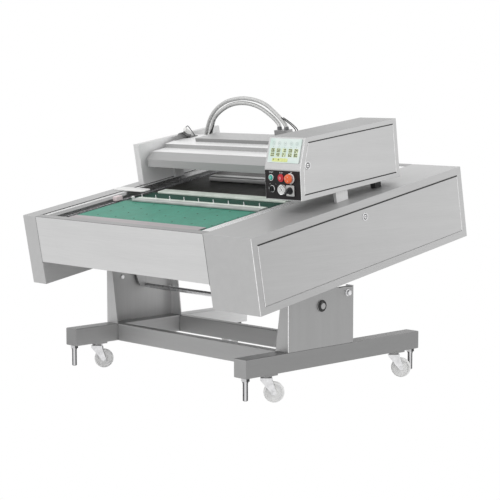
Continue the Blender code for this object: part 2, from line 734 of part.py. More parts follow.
def build_table(tilt, deck):
    """Side boxes, end panels, floor, guide rails and the brackets on the tilt axis."""
    low = -SIDE_BOX_HEIGHT
    y_limits = (TABLE_FRONT_Y, TABLE_REAR_Y)
    left = box((-TABLE_HALF_WIDTH, LEFT_BOX_INNER_X), y_limits, (low, 0))
    soften(make_piece("left_side_box", left, STEEL, parent=deck), SIDE_EDGE)
    right = box((RIGHT_BOX_INNER_X, TABLE_HALF_WIDTH), y_limits, (low, 0))
    right_box = make_piece("right_side_box", right, STEEL, parent=deck)
    build_side_cover(right_box, deck)
    build_end_panel("front_panel", deck, TABLE_FRONT_Y, 1)
    build_end_panel("rear_panel", deck, TABLE_REAR_Y, -1)
    floor_bottom = -END_PANEL_HEIGHT + SHEET + GAP
    inside = SHEET + GAP
    floor = box(
        (PANEL_LEFT_X, PANEL_RIGHT_X),
        (TABLE_FRONT_Y + inside, TABLE_REAR_Y - inside),
        (floor_bottom, floor_bottom + FLOOR_THICKNESS),
    )
    make_piece("table_floor", floor, DARK_STEEL, parent=deck)
    build_guide_rails(deck)
    build_cheek("left", -1, tilt, DECK_ABOVE_PIVOT + floor_bottom - GAP)
    build_cheek("right", 1, tilt, DECK_ABOVE_PIVOT + low - GAP)


def build_side_cover(right_box, deck):
    """The cover that is let into the right side box, with a groove all round."""
    low = -SIDE_BOX_HEIGHT
    opening = (
        TABLE_FRONT_Y + COVER_MARGIN_Y, TABLE_REAR_Y - COVER_MARGIN_Y,
        low + COVER_MARGIN_BOTTOM, -COVER_MARGIN_TOP,
    )
    seat = TABLE_HALF_WIDTH - COVER_THICKNESS - GAP
    pocket = prism(rectangle(*opening), "X", seat, TABLE_HALF_WIDTH + CUTTER_REACH)
    combine(right_box, pocket, "DIFFERENCE")
    soften(right_box, SIDE_EDGE)
    front, rear, bottom, top = opening
    cover = rectangle(front + COVER_GROOVE, rear - COVER_GROOVE, bottom + COVER_GROOVE, top - COVER_GROOVE)
    body = prism(cover, "X", seat + GAP, TABLE_HALF_WIDTH)
    make_piece("right_side_cover", body, STEEL, parent=deck)


def build_end_panel(name, deck, outer_y, inwards):
    """A folded panel that closes one end of the table between the side boxes."""
    low = -END_PANEL_HEIGHT
    inner = outer_y + inwards * SHEET
    lip = outer_y + inwards * END_PANEL_LIP
    outline = [
        (outer_y, low), (lip, low), (lip, low + SHEET), (inner, low + SHEET),
        (inner, -SHEET), (lip, -SHEET), (lip, 0), (outer_y, 0),
    ]
    make_piece(name, prism(outline, "X", PANEL_LEFT_X, PANEL_RIGHT_X), STEEL, parent=deck)


def build_guide_rails(deck):
    """The rails beside the belt, with a chamfer towards the belt."""
    top = -GUIDE_RAIL_DROP
    low = top - GUIDE_RAIL_HEIGHT
    front = TABLE_FRONT_Y + END_PANEL_LIP + GAP
    rear = TABLE_REAR_Y - END_PANEL_LIP - GAP
    for name, outer, width, inwards in (
        ("left_guide_rail", PANEL_LEFT_X, GUIDE_RAIL_LEFT_WIDTH, 1),
        ("right_guide_rail", PANEL_RIGHT_X, GUIDE_RAIL_RIGHT_WIDTH, -1),
    ):
        inner = outer + inwards * width
        outline = [
            (outer, low), (inner, low), (inner, top - GUIDE_RAIL_CHAMFER_HEIGHT),
            (inner - inwards * GUIDE_RAIL_CHAMFER_WIDTH, top), (outer, top),
        ]
        make_piece(name, prism(outline, "Y", front, rear), BRIGHT_STEEL, parent=deck)


def build_cheek(name, side, tilt, height):
    """The plate that carries the table on one pivot shaft."""
    outline = arc((0, 0), CHEEK_ROUND_RADIUS, 200, 340, 12)
    outline += [(CHEEK_HALF_WIDTH, height), (-CHEEK_HALF_WIDTH, height)]
    limits = sorted((side * CHEEK_INNER_X, side * CHEEK_OUTER_X))
    cheek = make_piece(name + "_cheek_plate", prism(outline, "X", *limits), DARK_STEEL, parent=tilt)
    end = RAIL_OUTER_X + BUSHING_THICKNESS + SHAFT_OVERHANG
    shaft = lathe(
        (
            (CHEEK_OUTER_X - CHEEK_THICKNESS / 2, SHAFT_RADIUS), (end - SHAFT_EDGE, SHAFT_RADIUS),
            (end, SHAFT_RADIUS - SHAFT_EDGE),
        ),
        axis="X",
    )
    combine(cheek, moved(shaft, Matrix.Diagonal((side, 1, 1, 1))), "UNION")


def loop_prism(radius_out, radius_in, steps=12):
    """Return the outer and inner outlines of a loop round the two rollers."""
    outlines = []
    for radius in (radius_out, radius_in):
        front = arc((FRONT_ROLLER_Y, ROLLER_Z), radius, 90, 270, steps)
        rear = arc((REAR_ROLLER_Y, ROLLER_Z), radius, 270, 450, steps)
        outlines.append(front + rear)
    return outlines


def build_belt(deck):
    """Belt, drive chain, rollers, seal bars and the infeed plate."""
    thick = ROLLER_RADIUS + GAP
    outer, inner = loop_prism(thick + BELT_THICKNESS, thick)
    belt = prism(outer, "X", BELT_LEFT_X, BELT_RIGHT_X, (inner,))
    make_piece("conveyor_belt", belt, BELT_GREEN, parent=deck)
    chain_in = SPROCKET_RADIUS + GAP
    outer, inner = loop_prism(chain_in + CHAIN_HEIGHT, chain_in, 10)
    chain = prism(outer, "X", CHAIN_LEFT_X, CHAIN_LEFT_X + CHAIN_WIDTH, (inner,))
    make_piece("drive_chain", chain, BLACK, parent=deck)
    build_rollers(deck)
    build_belt_bed(deck)
    bar_end = BELT_RIGHT_X + SEAL_BAR_RIGHT_OVERHANG
    low = BELT_TOP + GAP
    for name, centre in (
        ("front_seal_bar", FRONT_SEAL_BAR_Y),
        ("rear_seal_bar", FRONT_SEAL_BAR_Y + SEAL_BAR_PITCH),
    ):
        half = SEAL_BAR_DEPTH / 2
        outline = rounded_rectangle(
            centre - half, centre + half, low, low + SEAL_BAR_HEIGHT, SEAL_BAR_EDGE, 3
        )
        bar = prism(outline, "X", BELT_LEFT_X + SEAL_BAR_LEFT_INSET, bar_end)
        make_piece(name, bar, PALE_GREEN, parent=deck)
    half = REST_BAR_DEPTH / 2
    outline = rounded_rectangle(
        REST_BAR_Y - half, REST_BAR_Y + half, low, low + REST_BAR_HEIGHT, REST_BAR_EDGE
    )
    rest = prism(outline, "X", BELT_LEFT_X + REST_BAR_LEFT_INSET, bar_end)
    make_piece("chamber_rest_bar", rest, STEEL, parent=deck)
    start = TABLE_FRONT_Y + END_PANEL_LIP + GAP
    plate = box(
        (BELT_LEFT_X + INFEED_PLATE_INSET, BELT_RIGHT_X),
        (start, start + INFEED_PLATE_DEPTH),
        (BELT_TOP + GAP, BELT_TOP + GAP + INFEED_PLATE_THICKNESS),
    )
    make_piece("infeed_plate", plate, PALE_GREEN, parent=deck)


def build_rollers(deck):
    """Two rollers whose shafts carry the chain's sprockets and sit between the side boxes."""
    shaft, sprocket = ROLLER_SHAFT_RADIUS, SPROCKET_RADIUS
    chain_right = CHAIN_LEFT_X + CHAIN_WIDTH
    stations = (
        (PANEL_LEFT_X, shaft), (CHAIN_LEFT_X, shaft), (CHAIN_LEFT_X, sprocket), (chain_right, sprocket),
        (chain_right, shaft), (BELT_LEFT_X, shaft), (BELT_LEFT_X, ROLLER_RADIUS),
        (BELT_RIGHT_X, ROLLER_RADIUS), (BELT_RIGHT_X, shaft), (PANEL_RIGHT_X, shaft),
    )
    for name, y in (("front_roller", FRONT_ROLLER_Y), ("rear_roller", REAR_ROLLER_Y)):
        place = (0, y, ROLLER_Z)
        make_piece(name, lathe(stations, 24, "X"), ZINC, parent=deck, location=place, smooth=True)


def build_belt_bed(deck):
    """The bed that carries the belt's upper run and ties the side boxes together."""
    low = ROLLER_Z - SPROCKET_RADIUS
    shoulder = -GUIDE_RAIL_DROP - GUIDE_RAIL_HEIGHT - GAP
    top = ROLLER_Z + ROLLER_RADIUS
    outline = [
        (PANEL_LEFT_X, low), (PANEL_RIGHT_X, low), (PANEL_RIGHT_X, shoulder), (BELT_RIGHT_X, shoulder),
        (BELT_RIGHT_X, top), (BELT_LEFT_X, top), (BELT_LEFT_X, shoulder), (PANEL_LEFT_X, shoulder),
    ]
    inset = ROLLER_RADIUS + BED_ROLLER_SPACE
    bed = prism(outline, "Y", FRONT_ROLLER_Y + inset, REAR_ROLLER_Y - inset)
    make_piece("belt_bed", bed, DARK_STEEL, parent=deck)


def housing_outline():
    """The right housing's side view in its own tilted frame, counter-clockwise."""
    return [
        (0, 0), (HOUSING_LENGTH, 0), (HOUSING_LENGTH, HOUSING_HEIGHT),
        (HOUSING_TOP_BACK, HOUSING_HEIGHT), (HOUSING_KINK_BACK, HOUSING_KINK_HEIGHT),
    ]


def build_housing(deck):
    """The right housing, its inset cover and the two feet that carry it."""
    frame = make_empty("housing_frame", deck, (0, HOUSING_FRONT_Y, HOUSING_CLEARANCE), (HOUSING_TILT, 0, 0))
    body = prism(housing_outline(), "X", HOUSING_INNER_X, HOUSING_OUTER_X)
    housing = make_piece("right_housing", body, STEEL, parent=frame)
    seat = HOUSING_OUTER_X - COVER_THICKNESS - GAP
    pocket = offset_outline(housing_outline(), HOUSING_COVER_MARGIN)
    combine(housing, prism(pocket, "X", seat, HOUSING_OUTER_X + CUTTER_REACH), "DIFFERENCE")
    cover = offset_outline(pocket, COVER_GROOVE)
    cover_body = prism(cover, "X", seat + GAP, HOUSING_OUTER_X)
    make_piece("right_housing_cover", cover_body, STEEL, parent=frame)
    cut_lid_slot(housing, 1)
    build_foot_plate(
        "right_post", deck, HOUSING_OUTER_X - RIGHT_POST_INSET, RIGHT_POST_THICKNESS, RIGHT_POST_FRONT_Y,
        RIGHT_POST_DEPTH, STEEL,
    )
    build_foot_plate(
        "rear_bracket", deck, HOUSING_OUTER_X - REAR_BRACKET_INSET, REAR_BRACKET_THICKNESS,
        REAR_BRACKET_FRONT_Y, REAR_BRACKET_DEPTH, BLACK,
    )
    return frame, housing


def housing_underside(y):
    """The height of the right housing's lower face above the deck."""
    return HOUSING_CLEARANCE + (y - HOUSING_FRONT_Y) * math.tan(HOUSING_TILT)


def build_foot_plate(name, deck, x, thickness, front, depth, look):
    """A plate between the side box and the sloping underside of the housing."""
    rear = front + depth
    outline = [
        (front, GAP), (rear, GAP), (rear, housing_underside(rear) - GAP),
        (front, housing_underside(front) - GAP),
    ]
    make_piece(name, prism(outline, "X", x, x + thickness), look, parent=deck)


def cut_lid_slot(target, side):
    """Cut the upright slot that guides one of the lid's pins."""
    reach = LID_PIN_RADIUS + GAP
    depth = LID_PIN_DEPTH + LID_SLOT_SPACE
    low = LID_PIN_Z - LID_TRAVEL
    outline = arc((LID_PIN_Y, LID_PIN_Z), reach, 0, 180, 12) + arc((LID_PIN_Y, low), reach, 180, 360, 12)
    if side > 0:
        slot = prism(outline, "X", HOUSING_INNER_X - CUTTER_REACH, HOUSING_INNER_X + depth)
        back = Matrix.Rotation(-HOUSING_TILT, 4, "X") @ Matrix.Translation(
            (0, -HOUSING_FRONT_Y, -HOUSING_CLEARANCE)
        )
        combine(target, moved(slot, back), "DIFFERENCE")
    else:
        slot = prism(outline, "X", ARM_INNER_X - depth, ARM_INNER_X + CUTTER_REACH)
        combine(target, slot, "DIFFERENCE")


def build_arm(deck):
    """The slim left arm that guides the lid, with the hoses' flange, and its post."""
    rear = ARM_FRONT_Y + ARM_LENGTH
    top = GAP + ARM_HEIGHT
    outline = [(ARM_FRONT_Y, GAP), (rear, GAP), (rear, top - ARM_TOP_DROP), (ARM_FRONT_Y, top)]
    body = prism(outline, "X", ARM_INNER_X - ARM_THICKNESS, ARM_INNER_X)
    arm = make_piece("left_arm", body, STEEL, parent=deck)
    cut_lid_slot(arm, -1)
    flange = box(
        (ARM_INNER_X - ARM_THICKNESS / 2, ARM_INNER_X + HOSE_FLANGE_THICKNESS),
        (HOSE_FLANGE_Y - HOSE_FLANGE_HALF_WIDTH, HOSE_FLANGE_Y + HOSE_FLANGE_HALF_WIDTH),
        (HOSE_FLANGE_Z - HOSE_FLANGE_HALF_HEIGHT, HOSE_FLANGE_Z + HOSE_FLANGE_HALF_HEIGHT),
    )
    combine(arm, flange, "UNION")
    post = box(
        (ARM_INNER_X + GAP, ARM_INNER_X + GAP + ARM_POST_THICKNESS),
        (ARM_POST_FRONT_Y, ARM_POST_FRONT_Y + ARM_POST_DEPTH),
        (GAP - GUIDE_RAIL_DROP, ARM_POST_HEIGHT),
    )
    make_piece("left_arm_post", post, BRIGHT_STEEL, parent=deck)


def lid_outline():
    """The lid's end view, counter-clockwise seen from +X."""
    front, rear = LID_FRONT_Y, LID_FRONT_Y + LID_LENGTH
    bevel_bottom = LID_SKIRT_BOTTOM + LID_SKIRT_HEIGHT
    step = front + LID_STEP_BACK
    return [
        (front, LID_SKIRT_BOTTOM), (rear, LID_SKIRT_BOTTOM), (rear, LID_TOP),
        (VALVE_COVER_FRONT_Y, LID_TOP), (step, LID_TOP_FRONT + LID_STEP_HEIGHT), (step, LID_TOP_FRONT),
        (front + LID_BEVEL_DEPTH, LID_TOP_FRONT), (front, bevel_bottom),
    ]


def build_lid(lid):
    """The folded, stepped lid with its guide pins, bracket, valve cover and hose manifold."""
    shell = make_piece("lid_shell", prism(lid_outline(), "X", LID_LEFT_X, LID_RIGHT_X), STEEL, parent=lid)
    inner = offset_outline(lid_outline(), SHEET)
    below = LID_SKIRT_BOTTOM - CUTTER_REACH
    inner = [(y, below) if z < LID_SKIRT_BOTTOM + SHEET + GAP else (y, z) for y, z in inner]
    hollow = prism(inner, "X", LID_LEFT_X + SHEET, LID_RIGHT_X - SHEET)
    combine(shell, hollow, "DIFFERENCE")
    for start, end in (
        (ARM_INNER_X - LID_PIN_DEPTH, LID_LEFT_X + SHEET / 2),
        (LID_RIGHT_X - SHEET / 2, HOUSING_INNER_X + LID_PIN_DEPTH),
    ):
        pin = lathe(((start, LID_PIN_RADIUS), (end, LID_PIN_RADIUS)), 24, "X")
        combine(shell, moved(pin, Matrix.Translation((0, LID_PIN_Y, LID_PIN_Z))), "UNION")
    cover = box(
        (LID_LEFT_X + VALVE_COVER_INSET, LID_RIGHT_X),
        (VALVE_COVER_FRONT_Y, VALVE_COVER_FRONT_Y + VALVE_COVER_DEPTH),
        (COVER_SEAT, COVER_SEAT + VALVE_COVER_HEIGHT),
    )
    valve_cover = make_piece("lid_valve_cover", cover, STEEL, parent=lid)
    front = VALVE_COVER_FRONT_Y
    outline = [
        (front, COVER_SEAT), (front + LID_BRACKET_LENGTH, COVER_SEAT),
        (front + LID_BRACKET_TOP_END, COVER_SEAT + LID_BRACKET_HEIGHT),
        (front + LID_BRACKET_TOP_START, COVER_SEAT + LID_BRACKET_HEIGHT),
    ]
    start = LID_LEFT_X + SHEET
    bracket = prism(outline, "X", start, start + LID_BRACKET_THICKNESS)
    make_piece("lid_bracket", bracket, DARK_STEEL, parent=lid)
    seat = COVER_SEAT + VALVE_COVER_HEIGHT
    half_x, half_y = HOSE_MANIFOLD_LENGTH / 2, HOSE_MANIFOLD_DEPTH / 2
    middle = ARM_INNER_X + HOSE_MANIFOLD_REACH
    manifold = box(
        (middle - half_x, middle + half_x),
        (HOSE_MANIFOLD_Y - half_y, HOSE_MANIFOLD_Y + half_y),
        (seat - VALVE_COVER_HEIGHT / 2, seat + HOSE_MANIFOLD_HEIGHT),
    )
    combine(valve_cover, manifold, "UNION")


def smooth_route(points, spacing):
    """Read evenly spaced points from a smooth curve through the given ones."""
    places = [Vector(point) for point in points]
    padded = [places[0] * 2 - places[1]] + places + [places[-1] * 2 - places[-2]]
    route = [places[0]]
    for index in range(1, len(padded) - 2):
        before, start, end, after = padded[index - 1:index + 3]
        steps = max(1, round((end - start).length / spacing))
        for step in range(1, steps + 1):
            t = step / steps
            route.append(
                0.5 * (
                    2 * start + (end - before) * t
                    + (2 * before - 5 * start + 4 * end - after) * t ** 2
                    + (3 * start - before - 3 * end + after) * t ** 3
                )
            )
    return route


def build_hoses(deck):
    """Two hoses that loop from the left arm over the lid to the manifold."""
    for name, points in (("outer_hose", OUTER_HOSE_ROUTE), ("inner_hose", INNER_HOSE_ROUTE)):
        points = [(ARM_INNER_X + across, y, z) for across, y, z in points]
        curve = bpy.data.curves.new(name, "CURVE")
        curve.dimensions = "3D"
        curve.bevel_depth = HOSE_RADIUS
        curve.bevel_resolution = 2
        curve.use_fill_caps = True
        route = smooth_route(points, HOSE_RADIUS * 5)
        spline = curve.splines.new("POLY")
        spline.points.add(len(route) - 1)
        for point, place in zip(spline.points, route):
            point.co = (*place, 1)
        curve.materials.append(make_material(name, HOSE_GREY))
        hose = bpy.data.objects.new(name, curve)
        hose.parent = deck
        bpy.context.scene.collection.objects.link(hose)


def slope_frame(name, frame, start, end):
    """An empty on a sloping front: X across, Y up the slope, Z out of the face."""
    rise = math.atan2(end[1] - start[1], end[0] - start[0])
    return make_empty(name, frame, (0, start[0], start[1]), (rise, 0, 0))


def on_front(place):
    """Turn a place on the control plate into a location in the control frame."""
    across, up_slope = place
    return (HOUSING_INNER_X + across, up_slope, 0)


def build_controls(frame, housing):
    """Screen, control plate, buttons, switches and gauge on the housing's front."""
    foot, kink = (0, 0), (HOUSING_KINK_BACK, HOUSING_KINK_HEIGHT)
    brow = (HOUSING_TOP_BACK, HOUSING_HEIGHT)
    upper = slope_frame("screen_frame", frame, kink, brow)
    lower = slope_frame("control_frame", frame, foot, kink)
    inner, outer = HOUSING_INNER_X, HOUSING_OUTER_X
    outline = rounded_rectangle(
        inner + SCREEN_MARGIN_X, outer - SCREEN_MARGIN_X, SCREEN_BOTTOM, SCREEN_BOTTOM + SCREEN_HEIGHT,
        SCREEN_CORNER,
    )
    make_piece("screen", prism(outline, "Z", GAP, GAP + SCREEN_THICKNESS), SCREEN_MINT, parent=upper)
    outline = rounded_rectangle(
        inner + PANEL_MARGIN_X, outer - PANEL_MARGIN_X, PANEL_BOTTOM, PANEL_BOTTOM + PANEL_HEIGHT,
        PANEL_CORNER, 2,
    )
    plate_top = GAP + PANEL_THICKNESS
    plate = make_piece("control_plate", prism(outline, "Z", GAP, plate_top), BLACK, parent=lower)
    slope = Matrix.Rotation(math.atan2(HOUSING_KINK_HEIGHT, HOUSING_KINK_BACK), 4, "X")
    pocket_radius = BUTTON_RADIUS + GAP
    for place in (GREEN_BUTTON_AT, RED_BUTTON_AT, STOP_BUTTON_AT):
        shift = Matrix.Translation(on_front(place))
        hole = lathe(((-POCKET_DEPTH, pocket_radius), (POCKET_DEPTH, pocket_radius)))
        combine(plate, moved(hole, shift), "DIFFERENCE")
        pocket = lathe(((-POCKET_DEPTH, pocket_radius), (POCKET_DEPTH, pocket_radius)))
        combine(housing, moved(pocket, slope @ shift), "DIFFERENCE")
    build_buttons(lower, plate_top)
    seat = plate_top + GAP
    knob = lathe(
        (
            (seat, SELECTOR_RADIUS), (seat + SELECTOR_BASE_HEIGHT, SELECTOR_RADIUS),
            (seat + SELECTOR_BASE_HEIGHT, SELECTOR_GRIP_RADIUS),
            (seat + SELECTOR_HEIGHT, SELECTOR_GRIP_RADIUS),
        )
    )
    make_piece("selector_switch", knob, BLACK, parent=lower, location=on_front(SELECTOR_AT), smooth=True)
    gauge = lathe(
        (
            (seat, GAUGE_RADIUS), (seat + GAUGE_HEIGHT - GAUGE_EDGE, GAUGE_RADIUS),
            (seat + GAUGE_HEIGHT, GAUGE_RADIUS - GAUGE_EDGE),
        )
    )
    make_piece("vacuum_gauge", gauge, WHITE, parent=lower, location=on_front(GAUGE_AT), smooth=True)
    build_main_switch(lower, plate, plate_top)


def build_buttons(lower, plate_top):
    """Two push buttons and the mushroom stop button, each on its own plunger axis."""
    low = -POCKET_DEPTH + BUTTON_TRAVEL + EDGE_BREAK
    for name, place, look in (
        ("start_button", GREEN_BUTTON_AT, BUTTON_GREEN),
        ("stop_button", RED_BUTTON_AT, BUTTON_RED),
    ):
        top = plate_top + BUTTON_STAND_OUT
        button = lathe(
            ((low, BUTTON_RADIUS), (top - EDGE_BREAK, BUTTON_RADIUS), (top, BUTTON_RADIUS - EDGE_BREAK))
        )
        make_piece(name, button, look, parent=lower, location=on_front(place), smooth=True)
    head = plate_top + STOP_HEAD_CLEARANCE
    mushroom = lathe(
        (
            (low, BUTTON_RADIUS), (head, BUTTON_RADIUS), (head, STOP_HEAD_RADIUS - STOP_HEAD_NECK),
            (head + STOP_HEAD_WIDEST, STOP_HEAD_RADIUS),
            (head + STOP_HEAD_SHOULDER, STOP_HEAD_SHOULDER_RADIUS),
            (head + STOP_HEAD_HEIGHT, STOP_HEAD_TOP_RADIUS),
        )
    )
    place = on_front(STOP_BUTTON_AT)
    make_piece("emergency_stop", mushroom, STOP_ORANGE, parent=lower, location=place, smooth=True)


def build_main_switch(lower, plate, plate_top):
    """The rotary main switch on its raised square."""
    half = SWITCH_PLATE_SIZE / 2
    outline = rounded_rectangle(-half, half, -half, half, SWITCH_PLATE_CORNER, 2)
    top = plate_top + SWITCH_PLATE_HEIGHT
    raised = prism(outline, "Z", plate_top - PANEL_THICKNESS / 2, top)
    place = on_front(MAIN_SWITCH_AT)
    combine(plate, moved(raised, Matrix.Translation(place)), "UNION")
    start = top + GAP
    knob = lathe(
        (
            (start, MAIN_SWITCH_RADIUS), (start + MAIN_SWITCH_BASE_HEIGHT, MAIN_SWITCH_RADIUS),
            (start + MAIN_SWITCH_BASE_HEIGHT, MAIN_SWITCH_GRIP_RADIUS),
            (start + MAIN_SWITCH_HEIGHT, MAIN_SWITCH_GRIP_RADIUS),
        )
    )
    make_piece("main_switch", knob, BLACK, parent=lower, location=place, smooth=True)


def machine_middle():
    """The middle of the tilted table's length, which lies over the origin."""
    cosine, sine = math.cos(TABLE_TILT), math.sin(TABLE_TILT)
    front = (TABLE_FRONT_Y + DECK_BACK_FROM_PIVOT) * cosine - DECK_ABOVE_PIVOT * sine
    rear = (TABLE_REAR_Y + DECK_BACK_FROM_PIVOT) * cosine - (DECK_ABOVE_PIVOT - SIDE_BOX_HEIGHT) * sine
    return PIVOT_Y + (front + rear) / 2


def main():
    clear_scene()
    machine = make_empty("machine", None, (0, -machine_middle(), 0))
    build_base(machine)
    build_feet(machine)
    build_casters(machine)
    tilt = make_empty("tilt_axis", machine, (0, PIVOT_Y, PIVOT_Z), (TABLE_TILT, 0, 0))
    deck = make_empty("deck", tilt, (0, DECK_BACK_FROM_PIVOT, DECK_ABOVE_PIVOT))
    lid = make_empty("lid_axis", deck)
    build_table(tilt, deck)
    build_belt(deck)
    frame, housing = build_housing(deck)
    build_arm(deck)
    build_lid(lid)
    build_hoses(deck)
    build_controls(frame, housing)


main()
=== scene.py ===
"""Looks of the vacuum packing machine: materials, small fittings, lights and the camera.

Lengths are in metres. Fittings are shaped in a local frame and then placed: DECK has Z = 0 on
the table's top, and CONTROL and SCREEN have X across, Y up the slope and Z out of the face.
"""
import math

import bmesh
import bpy
from mathutils import Matrix, Vector


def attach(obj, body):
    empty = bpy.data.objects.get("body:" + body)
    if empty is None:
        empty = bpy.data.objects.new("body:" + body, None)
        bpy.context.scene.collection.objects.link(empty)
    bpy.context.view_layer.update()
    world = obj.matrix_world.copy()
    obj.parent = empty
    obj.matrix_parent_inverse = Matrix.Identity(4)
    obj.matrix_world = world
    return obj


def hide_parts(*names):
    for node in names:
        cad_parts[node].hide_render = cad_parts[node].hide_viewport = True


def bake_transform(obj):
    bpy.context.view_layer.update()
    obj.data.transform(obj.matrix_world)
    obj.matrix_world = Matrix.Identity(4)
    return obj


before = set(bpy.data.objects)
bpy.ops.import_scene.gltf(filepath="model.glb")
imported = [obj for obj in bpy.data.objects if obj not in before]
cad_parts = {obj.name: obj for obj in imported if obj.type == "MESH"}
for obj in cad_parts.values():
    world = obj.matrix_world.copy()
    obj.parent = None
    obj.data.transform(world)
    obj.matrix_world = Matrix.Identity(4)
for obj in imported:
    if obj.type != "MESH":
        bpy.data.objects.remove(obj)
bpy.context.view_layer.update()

# Places repeated from the solids
TABLE_TILT = math.radians(10.1)
HOUSING_TILT = math.radians(-3.03)
PIVOT = Vector((0.0, -0.113154, 0.3808))
SHAFT_X = 0.600
DECK = (
    Matrix.Translation(PIVOT)
    @ Matrix.Rotation(TABLE_TILT, 4, "X")
    @ Matrix.Translation((0, 0.1116, 0.4343))
)
HOUSING = DECK @ Matrix.Translation((0, -0.245, 0.060)) @ Matrix.Rotation(HOUSING_TILT, 4, "X")
CONTROL = HOUSING @ Matrix.Rotation(math.atan2(0.128, 0.006), 4, "X")
SCREEN = (
    HOUSING
    @ Matrix.Translation((0, 0.006, 0.128))
    @ Matrix.Rotation(math.atan2(0.128, 0.045), 4, "X")
)
CONTROL_TOP = 0.0023
SCREEN_TOP = 0.0033
BELT_TOP = -0.020
BELT_X = (-0.540, 0.346)
BELT_SHADE_Y = (-0.265, -0.100, 0.450)
BELT_SHADE_LENGTH = 0.03
HOSE_RADIUS = 0.010
ARM_OUTER_X = -0.6930
REAR_Y = 0.7185
HOUSING_REAR_Y = 0.6220
GREEN_AT = (0.5240, 0.0927)
RED_AT = (0.5805, 0.0926)
STOP_AT = (0.6350, 0.0925)
SELECTOR_AT = (0.5266, 0.0455)
GAUGE_AT = (0.5885, 0.0450)
SWITCH_AT = (0.6340, 0.0420)
OUTER_HOSE_ROUTE = (
    (-0.6472, 0.450, 0.137), (-0.6400, 0.450, 0.137), (-0.6230, 0.450, 0.147),
    (-0.6070, 0.450, 0.175), (-0.5870, 0.450, 0.217), (-0.5490, 0.445, 0.262),
    (-0.4900, 0.437, 0.304), (-0.4100, 0.426, 0.337), (-0.3340, 0.414, 0.353),
    (-0.2610, 0.403, 0.360), (-0.1900, 0.391, 0.358), (-0.1270, 0.380, 0.349),
    (-0.0720, 0.371, 0.332), (-0.0230, 0.362, 0.305), (0.0210, 0.353, 0.278),
    (0.0500, 0.350, 0.250), (0.0560, 0.350, 0.233), (0.0560, 0.350, 0.2256),
)
INNER_HOSE_ROUTE = (
    (-0.6472, 0.450, 0.100), (-0.6350, 0.450, 0.100), (-0.6100, 0.450, 0.109),
    (-0.5860, 0.450, 0.134), (-0.5700, 0.448, 0.180), (-0.5280, 0.442, 0.248),
    (-0.4550, 0.432, 0.294), (-0.3730, 0.420, 0.323), (-0.2950, 0.408, 0.335),
    (-0.2150, 0.395, 0.335), (-0.1400, 0.382, 0.322), (-0.0800, 0.371, 0.300),
    (-0.0270, 0.362, 0.272), (0.0060, 0.354, 0.248), (0.0110, 0.350, 0.233),
    (0.0110, 0.350, 0.2256),
)

# Small sizes that several fittings share
HERE = Matrix.Identity(4)
SHARP_ANGLE = math.radians(35)
CLEARANCE = 0.0001
MARK_THICK = 0.0003
PRINT_THICK = 0.0002
CABLE_STEP = 0.004
HOSE_STEP = 0.0012
BAR_TOP = -0.0098


# Shapes

def rounded(left, right, bottom, top, radius, steps=5):
    """Return the outline of a rectangle with rounded corners, counter-clockwise."""
    points = []
    for x, y, start in (
        (right - radius, top - radius, 0), (left + radius, top - radius, 90),
        (left + radius, bottom + radius, 180), (right - radius, bottom + radius, 270),
    ):
        for step in range(steps + 1):
            angle = math.radians(start + 90 * step / steps)
            points.append((x + radius * math.cos(angle), y + radius * math.sin(angle)))
    return points


def solid(rings, closed=False):
    """Return a bmesh over rings of equally many points, capped at both ends or closed as a loop."""
    data = bmesh.new()
    rings = [[data.verts.new(point) for point in ring] for ring in rings]
    pairs = list(zip(rings, rings[1:]))
    if closed:
        pairs.append((rings[-1], rings[0]))
    for first, second in pairs:
        count = len(first)
        for i in range(count):
            j = (i + 1) % count
            data.faces.new((first[i], first[j], second[j], second[i]))
    if not closed:
        data.faces.new(list(reversed(rings[0])))
        data.faces.new(rings[-1])
    return data


def circle(radius, height, steps):
    """Return points round Z."""
    angles = [2 * math.pi * i / steps for i in range(steps)]
    return [(radius * math.cos(angle), radius * math.sin(angle), height) for angle in angles]


def slab(outline, low, high, edge=0.0):
    """Extrude an outline along Z and round its top rim."""
    rims = [(low, 0.0), (high - edge, 0.0)]
    if edge:
        rims += [(high - edge * 0.3, edge * 0.3), (high, edge)]
    middle_x = sum(p[0] for p in outline) / len(outline)
    middle_y = sum(p[1] for p in outline) / len(outline)
    width = max(p[0] for p in outline) - min(p[0] for p in outline)
    depth = max(p[1] for p in outline) - min(p[1] for p in outline)
    rings = []
    for height, inset in rims:
        across, along = 1 - 2 * inset / width, 1 - 2 * inset / depth
        rings.append([
            (middle_x + (x - middle_x) * across, middle_y + (y - middle_y) * along, height)
            for x, y in outline
        ])
    return solid(rings)


def lathe(profile, steps=40, closed=False):
    """Turn (radius, height) points about Z. A closed profile makes a ring with a hole."""
    return solid([circle(radius, height, steps) for radius, height in profile], closed)


def hex_head(across, height, chamfer=0.0008):
    """A hexagon bolt head that stands on Z = 0."""
    corner = 1 / math.cos(math.pi / 6)
    wide, narrow = across / 2 * corner, (across / 2 - chamfer) * corner
    return lathe(((wide, 0), (wide, height - chamfer), (narrow, height)), 6)


def smooth_path(points, spacing):
    """Read close points from a smooth curve through the given ones."""
    places = [Vector(p) for p in points]
    padded = [places[0] * 2 - places[1]] + places + [places[-1] * 2 - places[-2]]
    path = [places[0]]
    for index in range(1, len(padded) - 2):
        before, start, end, after = padded[index - 1:index + 3]
        steps = max(1, round((end - start).length / spacing))
        for step in range(1, steps + 1):
            t = step / steps
            path.append(0.5 * (
                2 * start + (end - before) * t
                + (2 * before - 5 * start + 4 * end - after) * t ** 2
                + (3 * start - before - 3 * end + after) * t ** 3
            ))
    return path


